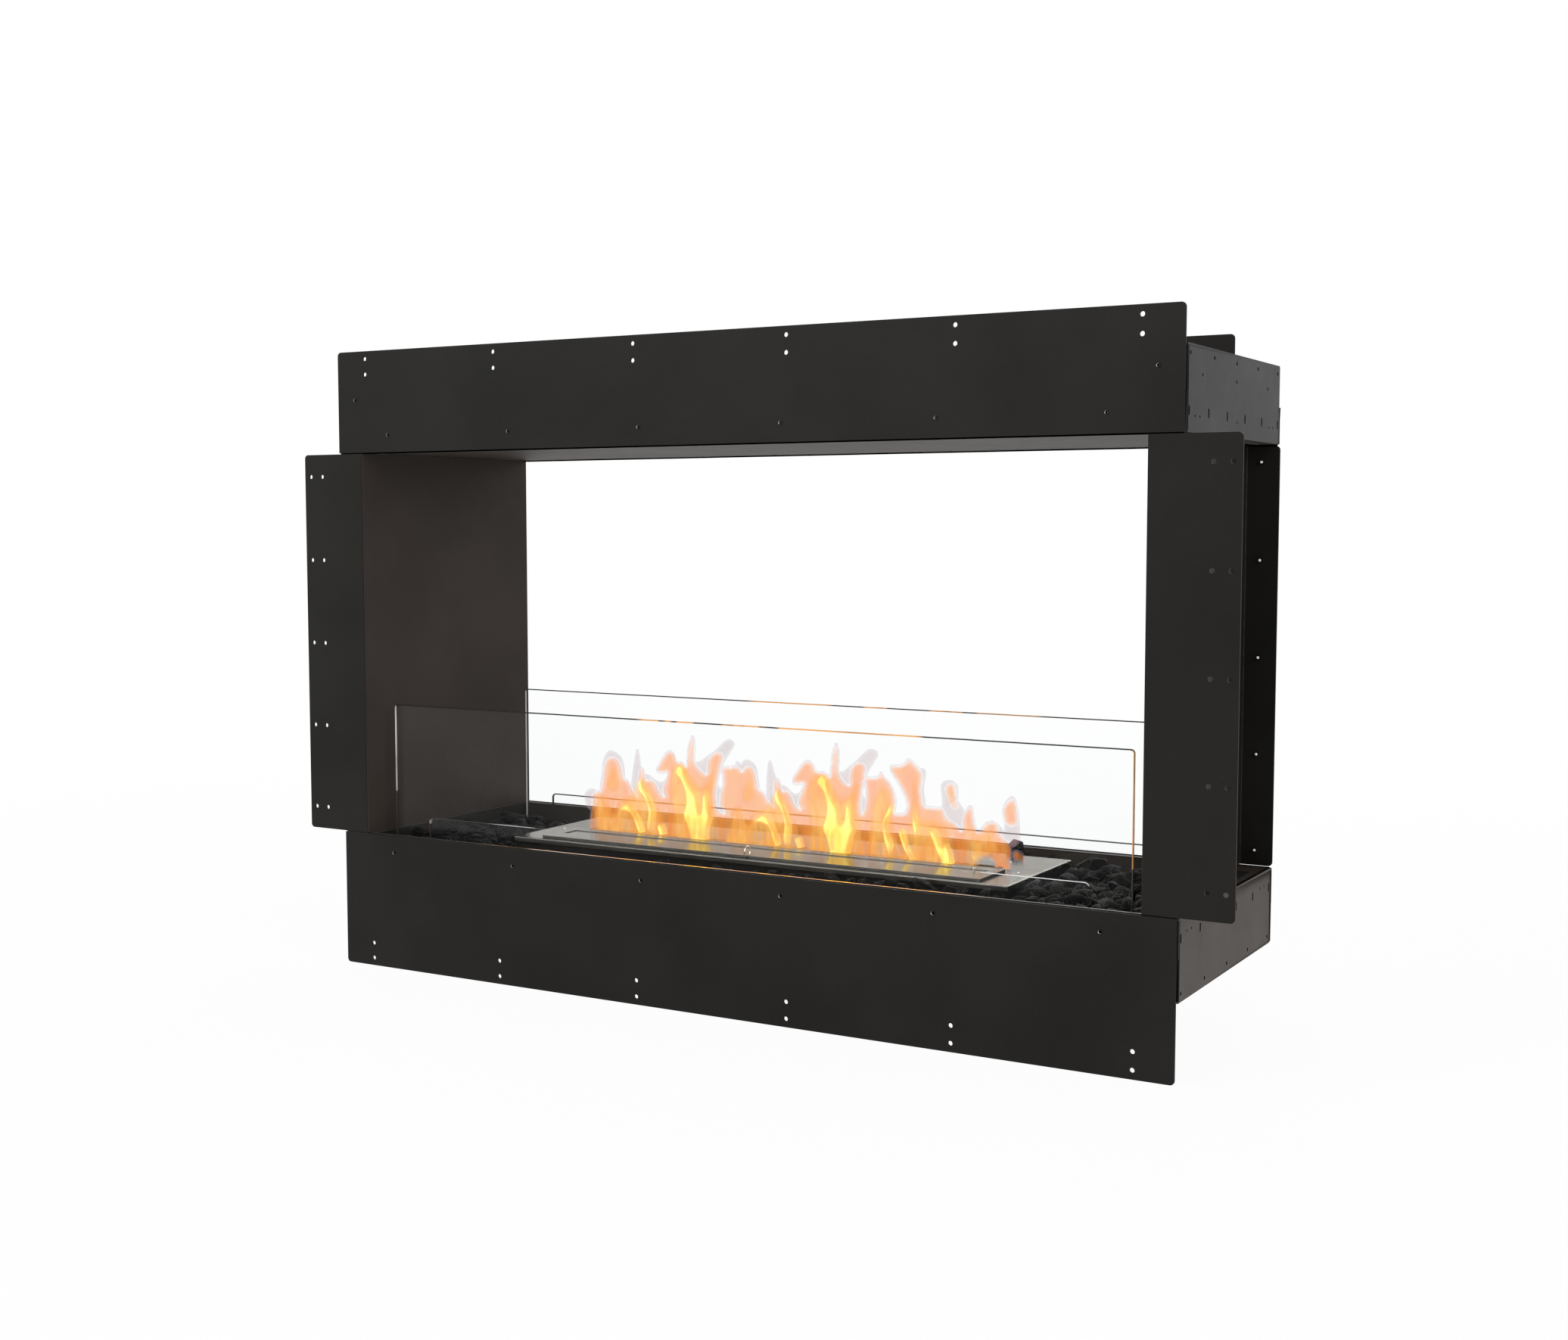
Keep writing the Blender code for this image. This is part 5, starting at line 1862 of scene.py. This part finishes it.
BODY_LAYER = Layer(
    "fire_body_layer",
    FIRE_BODY,
    0.0062,
    0.010,
    (
        ((-297, 0), (-296, 21), (-292, 38), (-291, 49), (-279, 52), (-275, 62), (-272, 77), (-271, 86),
         (-266, 96), (-260, 100), (-255, 97), (-250, 90), (-247, 79), (-245, 71), (-238, 68), (-232, 60),
         (-227, 52), (-220, 47), (-214, 30), (-215, 1)),
        ((-218, 45), (-220, 63), (-219, 78), (-217, 86), (-214, 86), (-210, 73), (-206, 60), (-201, 49),
         (-196, 37), (-210, 30)),
        ((-210, 44), (-210, 68), (-204, 73), (-196, 68), (-190, 57), (-183, 51), (-175, 47), (-176, 29),
         (-210, 26)),
        ((-217, 1), (-211, 36), (-177, 48), (-182, 59), (-180, 66), (-176, 76), (-173, 85), (-182, 83),
         (-190, 83), (-191, 86), (-186, 95), (-179, 105), (-174, 110), (-168, 112), (-163, 108),
         (-159, 100), (-154, 97), (-150, 99), (-145, 96), (-141, 91), (-139, 105), (-137, 122), (-132, 136),
         (-130, 121), (-130, 101), (-126, 93), (-119, 87), (-112, 84), (-111, 103), (-108, 108),
         (-102, 114), (-94, 114), (-90, 109), (-93, 95), (-96, 79), (-98, 54), (-94, 39), (-81, 33),
         (-78, 6), (-119, 0), (-160, 0)),
    ),
    (
        ((-90, 43), (-89, 67), (-87, 73), (-88, 88), (-90, 96), (-79, 96), (-68, 98), (-65, 93), (-67, 74),
         (-70, 56), (-68, 42)),
        ((92, 24), (92, 0), (127, 0), (187, 0), (262, 0), (257, 18), (251, 30), (246, 40), (241, 46),
         (226, 56), (223, 65), (209, 66), (198, 67), (195, 75), (193, 87), (195, 102), (192, 109),
         (186, 116), (178, 123), (174, 117), (165, 114), (154, 113), (156, 107), (165, 95), (171, 84),
         (176, 71), (176, 62), (173, 56), (165, 54), (156, 55), (159, 61), (160, 73), (158, 83), (151, 94),
         (143, 99), (139, 105), (137, 99), (127, 96), (118, 96), (118, 70), (115, 54), (103, 35)),
        ((227, 94), (233, 97), (237, 93), (238, 83), (240, 73), (241, 65), (236, 66), (231, 78), (227, 86)),
        ((247, 0), (248, 30), (249, 47), (250, 59), (253, 66), (259, 71), (261, 65), (264, 50), (269, 40),
         (275, 46), (280, 52), (288, 54), (294, 50), (295, 41), (303, 35), (310, 29), (312, 20), (310, 9),
         (312, 1), (306, 0), (300, 3), (293, 0), (291, 6), (279, 11), (270, 12), (268, 3), (263, 3),
         (260, 0)),
        ((302, 66), (303, 74), (308, 80), (314, 84), (318, 78), (320, 67), (319, 53), (313, 51), (305, 54)),
        ((315, 19), (319, 22), (324, 21), (329, 15), (330, 12), (325, 10), (318, 12)),
    ),
)
AMBER_LAYER = Layer(
    "fire_amber_layer",
    FIRE_AMBER,
    0.0076,
    0.013,
    (
        ((-168, 0), (-166, 30), (-172, 60), (-168, 88), (-158, 101), (-146, 97), (-136, 84), (-122, 70),
         (-112, 78), (-104, 94), (-98, 90), (-100, 60), (-96, 30), (-92, 0)),
        ((-262, 0), (-258, 30), (-248, 46), (-234, 50), (-224, 66), (-214, 78), (-206, 64), (-194, 46),
         (-184, 25), (-180, 0)),
        ((-290, 0), (-288, 26), (-281, 46), (-270, 50), (-263, 30), (-263, 0)),
        ((-268, 56), (-264, 84), (-259, 92), (-253, 80), (-250, 60), (-256, 50)),
    ),
    (
        ((122, 0), (123, 40), (126, 66), (140, 88), (152, 82), (157, 60), (158, 30), (168, 0)),
        ((170, 0), (176, 40), (181, 70), (182, 98), (189, 106), (192, 80), (196, 54), (208, 54), (222, 50),
         (236, 30), (240, 0)),
        ((229, 68), (228, 88), (235, 92), (237, 72)),
        ((252, 0), (255, 24), (262, 50), (270, 36), (276, 40), (286, 45), (291, 30), (296, 16), (286, 14),
         (276, 8), (268, 0)),
    ),
)
VEIL_LAYER = Layer(
    "fire_veil_layer",
    FIRE_VEIL,
    0.0034,
    0.010,
    (
        ((-278, 52), (-274, 77), (-271, 96), (-264, 106), (-250, 100), (-245, 84), (-243, 70), (-226, 54),
         (-223, 41), (-275, 37)),
        ((-228, 49), (-229, 77), (-226, 100), (-224, 110), (-221, 100), (-218, 86), (-218, 49), (-223, 43)),
        ((-306, 45), (-301, 51), (-288, 52), (-288, 27), (-302, 29)),
        ((-211, 64), (-209, 77), (-204, 77), (-196, 71), (-183, 68), (-175, 76), (-176, 44), (-193, 43),
         (-210, 53)),
        ((-133, 87), (-131, 98), (-122, 100), (-111, 108), (-100, 116), (-89, 126), (-81, 131), (-73, 128),
         (-82, 113), (-89, 102), (-94, 87), (-96, 72), (-90, 64), (-89, 50), (-96, 35), (-127, 50)),
    ),
    (
        ((-66, 92), (-69, 104), (-64, 100), (-60, 97), (-57, 104), (-49, 103), (-42, 97), (-38, 84),
         (-35, 68), (-39, 47), (-90, 43), (-93, 61), (-81, 67), (-68, 74)),
        ((191, 110), (197, 111), (196, 87), (199, 66), (193, 63)),
        ((223, 96), (233, 99), (239, 94), (240, 76), (249, 62), (251, 27), (241, 36), (225, 55), (224, 77)),
        ((293, 51), (304, 42), (304, 60), (302, 71), (308, 82), (314, 86), (319, 76), (322, 56), (321, 33),
         (310, 27), (295, 33)),
    ),
)
HEART_LAYER = Layer(
    "fire_heart_layer",
    FIRE_HEART,
    0.0088,
    0.0070,
    (
        ((-219, 63), (-217, 72), (-214, 76), (-210, 64), (-203, 53), (-200, 45), (-195, 34), (-194, 20),
         (-199, 2), (-205, 7), (-204, 32), (-211, 50), (-217, 56)),
        ((-251, 27), (-244, 35), (-235, 41), (-228, 38), (-223, 29), (-215, 17), (-210, 3), (-217, 1),
         (-223, 12), (-228, 24), (-237, 28)),
        ((-158, 86), (-154, 94), (-150, 97), (-144, 92), (-140, 81), (-135, 69), (-126, 57), (-123, 42),
         (-119, 29), (-115, 10), (-112, 0), (-135, 0), (-142, 16), (-148, 32), (-144, 43), (-144, 63),
         (-149, 75), (-156, 83)),
        ((-115, 65), (-112, 70), (-108, 57), (-106, 41), (-103, 30), (-107, 20), (-111, 1), (-115, 10),
         (-119, 23), (-118, 43)),
        ((-189, 13), (-184, 17), (-179, 14), (-176, 2), (-185, 2)),
    ),
    (
        ((155, 71), (151, 61), (143, 48), (142, 36), (146, 15), (152, 1), (156, 17), (151, 30), (150, 42),
         (158, 61)),
        ((181, 116), (184, 108), (185, 75), (188, 57), (194, 40), (190, 23), (184, 42), (183, 74)),
        ((163, 38), (172, 36), (177, 19), (188, 0), (182, 0), (169, 17)),
        ((205, 44), (215, 39), (223, 21), (233, 0), (225, 0), (212, 23)),
        ((225, 29), (233, 21), (238, 0), (233, 0)),
        ((261, 14), (265, 16), (270, 8), (267, 4)),
    ),
)


@dataclass
class Flames:
    """The fire over the slot: orange tongues with a lilac fringe, amber insides and yellow hearts."""

    repeat: float = 0.2075
    slab: float = 0.010
    grain: float = 0.0016
    tallest: float = 0.136
    fringe: float = 0.0020
    fade: float = 0.0010
    sunk: float = 0.0022
    lift: float = 0.0006

    @staticmethod
    def rounded(outline: Outline) -> list[tuple[float, float]]:
        """Draw a smooth closed curve through an outline's points, sharp where it turns back.

        Args:
            outline: The points.

        Returns:
            More points, in order.
        """
        points = [Vector((x, rise, 0)) for x, rise in outline]
        count = len(points)
        leans = []
        for i, point in enumerate(points):
            before = (point - points[i - 1]).normalized()
            after = (points[(i + 1) % count] - point).normalized()
            leans.append((before + after).normalized() * (1 + before.dot(after)) / 6)
        found = []
        for i, point in enumerate(points):
            other = points[(i + 1) % count]
            run = (other - point).length
            handles = (point + leans[i] * run, other - leans[(i + 1) % count] * run)
            steps = max(2, round(run / 4))
            for k in range(steps):
                t = k / steps
                s = 1 - t
                spot = s**3 * point + 3 * s * s * t * handles[0] + 3 * s * t * t * handles[1] + t**3 * other
                found.append((spot.x, max(0.0, spot.y)))
        return found

    def slabs(self, outlines: Sequence[Outline], foot_z: float) -> list[Piece]:
        """Cut a flat slab to each outline.

        Args:
            outlines: The outlines.
            foot_z: The height of the fire's foot.

        Returns:
            The slabs.
        """
        made = []
        for outline in outlines:
            curve = self.rounded(outline)
            Bench.clear()
            bpy.ops.mesh.primitive_circle_add(vertices=len(curve), radius=1.0, fill_type="NGON")
            piece = Bench.settle("slab")
            Bench.pick_all(piece, Kind.FACE)
            shape = bmesh.from_edit_mesh(piece.data)
            for point, (x, rise) in zip(shape.verts, curve):
                point.co = (x / 1000, -self.slab / 2, foot_z + rise / 1000)
            bmesh.update_edit_mesh(piece.data)
            Bench.extrude(0, self.slab, 0)
            Bench.done()
            made.append(piece)
        return made

    def layer(self, plan: Layer, foot_z: float) -> Piece:
        """Grow one layer's slabs together.

        Args:
            plan: The layer.
            foot_z: The height of the fire's foot.

        Returns:
            The layer, of even thickness.
        """
        made = self.slabs(plan.twice, foot_z)
        shift = Matrix.Translation((self.repeat, 0, 0))
        made += [Bench.copy(piece, "slab", shift) for piece in made]
        made += self.slabs(plan.once, foot_z)
        piece = Bench.join(made, plan.name)
        Bench.apply(piece, "REMESH", mode="VOXEL", voxel_size=self.grain)
        Bench.apply(piece, "SMOOTH", factor=0.5, iterations=4)
        return piece

    @staticmethod
    def rim_tree(piece: Piece, foot_z: float) -> KDTree:
        """Gather the points of a layer's rim, its foot left out, as places in the upright plane."""
        found = [p.co for p in piece.data.vertices if abs(p.normal.y) < 0.6 and p.co.z > foot_z + 0.003]
        tree = KDTree(len(found))
        for i, place in enumerate(found):
            tree.insert((place.x, 0, place.z), i)
        tree.balance()
        return tree

    def widen(self, piece: Piece, body: Piece, foot_z: float) -> list[float]:
        """Grow the veil's rim outward, and find where it stands clear of the body.

        Args:
            piece: The veil, which is as large as the body or larger.
            body: The body.
            foot_z: The height of the fire's foot.

        Returns:
            For each point of the veil, 1 where it is clear of the body and 0 behind it.
        """
        leans = [point.normal.copy() for point in piece.data.vertices]
        for point, lean in zip(piece.data.vertices, leans):
            point.co.x += lean.x * self.fringe
            point.co.z = max(foot_z, point.co.z + lean.z * self.fringe)
        tree = self.rim_tree(body, foot_z)
        corners = [point.co for point in body.data.vertices]
        cast = BVHTree.FromPolygons(corners, [face.vertices for face in body.data.polygons])
        found = []
        for point in piece.data.vertices:
            x, _, z = point.co
            hidden = cast.ray_cast(Vector((x, -1.0, z)), Vector((0, 1, 0)))[0] is not None
            found.append(0.0 if hidden else min(1.0, tree.find((x, 0, z))[2] / self.fade))
        return found

    @staticmethod
    def sway(x: float, z: float) -> float:
        """Give how far the fire leans back at a place: a broad wave and a narrow one."""
        return 0.0030 * math.sin(41 * x + 22 * z) + 0.0018 * math.sin(103 * x - 37 * z + 1.3)

    def swell(self, piece: Piece, plan: Layer, foot_z: float, free: Sequence[float]) -> Piece:
        """Make a layer thick inside and thin at its rim, let it sway, and paint its points.

        Args:
            piece: The layer.
            plan: Its plan.
            foot_z: The height of the fire's foot.
            free: How clear of other layers each of its points is.

        Returns:
            The layer.
        """
        tree = self.rim_tree(piece, foot_z)
        rims, rises = [], []
        for point in piece.data.vertices:
            x, y, z = point.co
            inside = min(1.0, tree.find((x, 0, z))[2] / plan.reach)
            rise = (z - foot_z) / self.tallest
            thick = (0.10 + 0.90 * math.sqrt(inside)) * plan.deep / (self.slab / 2)
            point.co.y = y * thick + self.sway(x, z) * min(1.0, 0.3 + rise)
            rims.append(inside)
            rises.append(min(1.0, max(0.0, rise)))
        for name, values in (("rim", rims), ("rise", rises), ("free", free)):
            Bench.paint(piece.data, name, values)
        Bench.take(piece)
        bpy.ops.object.shade_smooth()
        piece.data.materials.clear()
        piece.data.materials.append(plan.finish.material())
        return piece

    def build(self) -> list[Piece]:
        """Build the whole fire as one soft piece.

        Returns:
            The fire.
        """
        foot_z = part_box("burner_top_plate")[1].z + self.lift
        plans = (BODY_LAYER, AMBER_LAYER, HEART_LAYER)
        made = [self.layer(plan, foot_z) for plan in plans]
        twice = VEIL_LAYER.twice + BODY_LAYER.twice
        wide = replace(VEIL_LAYER, twice=twice, once=VEIL_LAYER.once + BODY_LAYER.once)
        veil = self.layer(wide, foot_z)
        free = self.widen(veil, made[0], foot_z)
        for piece, plan in zip(made, plans):
            self.swell(piece, plan, foot_z, [1.0] * len(piece.data.vertices))
        made.append(self.swell(veil, wide, foot_z, free))
        fire = dress(Bench.join(made, "fire"), FIRE_BODY, "firebox")
        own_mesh(fire)
        return [fire]


@dataclass
class Studio:
    """The camera at the picture's angle, a white floor and soft white light."""

    camera_at: tuple[float, float, float] = (1.1923, -2.0613, 0.4961)
    aim: tuple[float, float, float] = (0.0, 0.0, 0.3)
    sky_level: float = 0.62
    yaw: float = 30.0
    pitch: float = 4.311
    lens: float = 43.65
    floor_z: float = -0.0858

    def camera(self) -> None:
        """Set the camera up."""
        data = bpy.data.cameras.new("picture_camera")
        data.lens = self.lens
        data.sensor_width = 36.0
        data.sensor_fit = "HORIZONTAL"
        data.clip_end = 100.0
        holder = Bench.add("picture_camera", data)
        holder.location = self.camera_at
        holder.rotation_euler = (math.radians(90 - self.pitch), 0, math.radians(self.yaw))
        bpy.context.scene.camera = holder

    def floor(self) -> None:
        """Lay the pale floor. Seen directly it is nearly white, and it keeps the insert's shadow."""
        Bench.clear()
        bpy.ops.mesh.primitive_plane_add(size=60.0, location=(0, 0, self.floor_z))
        piece = Bench.settle("studio_floor")
        material = bpy.data.materials.new("studio_floor")
        graph = Graph(material)
        pale = graph.mix(graph.noise(3.0, 2.0), (0.80, 0.80, 0.80), (0.82, 0.82, 0.82))
        matt = graph.surface(Base_Color=pale, Roughness=0.9, Specular_IOR_Level=0.0)
        away = (graph.part("X") ** 2.0 + graph.part("Y") ** 2.0).step(0.8, 9.0)
        graph.end(graph.blend(self.seen(graph) * (0.95 + away * 0.05), matt, graph.glow((1.0, 1.0, 1.0))))
        piece.data.materials.append(material)

    @staticmethod
    def seen(graph: Graph) -> Value:
        """Give 1 for what the camera sees directly, through glass or in a mirror, and else 0."""
        return graph.ray("Camera").greatest(graph.ray("Glossy")).greatest(graph.ray("Transmission"))

    def sky(self, level: float) -> None:
        """Surround the set with white, at a plain level for the light that it gives.

        Args:
            level: The strength of that light.
        """
        world = bpy.data.worlds.new("studio_sky")
        bpy.context.scene.world = world
        graph = Graph(world)
        values = {"Color": (1.0, 1.0, 1.0), "Strength": self.seen(graph) * (1.0 - level) + level}
        sky = graph.value("ShaderNodeBackground", None, values)
        graph.node("ShaderNodeOutputWorld", None, {"Surface": sky})

    def lamp(self, name: str, place: tuple[float, float, float], size: float, power: float) -> None:
        """Hang one soft square lamp that faces the insert.

        Args:
            name: Its name.
            place: Where it hangs.
            size: Its side.
            power: Its power in watts.
        """
        data = bpy.data.lights.new(name, "AREA")
        data.size = size
        data.energy = power
        holder = Bench.add(name, data)
        holder.location = place
        holder.rotation_euler = (Vector(self.aim) - Vector(place)).to_track_quat("-Z", "Y").to_euler()

    def build(self) -> None:
        """Set up the camera, floor, sky and lamps."""
        self.camera()
        self.floor()
        self.sky(self.sky_level)
        self.lamp("key_lamp", (-1.6, -3.0, 2.4), 2.4, 62.0)
        self.lamp("fill_lamp", (3.2, -1.4, 1.6), 2.2, 42.0)
        self.lamp("back_lamp", (-0.6, 3.2, 2.2), 2.4, 45.0)
        bpy.context.scene.view_settings.view_transform = "Standard"
        bpy.context.scene.cycles.transparent_max_bounces = 32


def main() -> None:
    """Build the sub-assemblies in order and report each piece."""
    logging.basicConfig(level=logging.INFO, format="%(message)s")
    Studio().build()
    parts = (FrontPlates(), SidePanels(), Trays(), EndPlates(), RivetNuts(), GlassScreens())
    parts += (Burner(), Lid(), StoneBeds(), Flames())
    made = []
    for part in parts:
        pieces = part.build()
        log.info("%s: %d pieces", type(part).__name__, len(pieces))
        made += pieces
    Bench.clear()


if __name__ == "__main__":
    main()
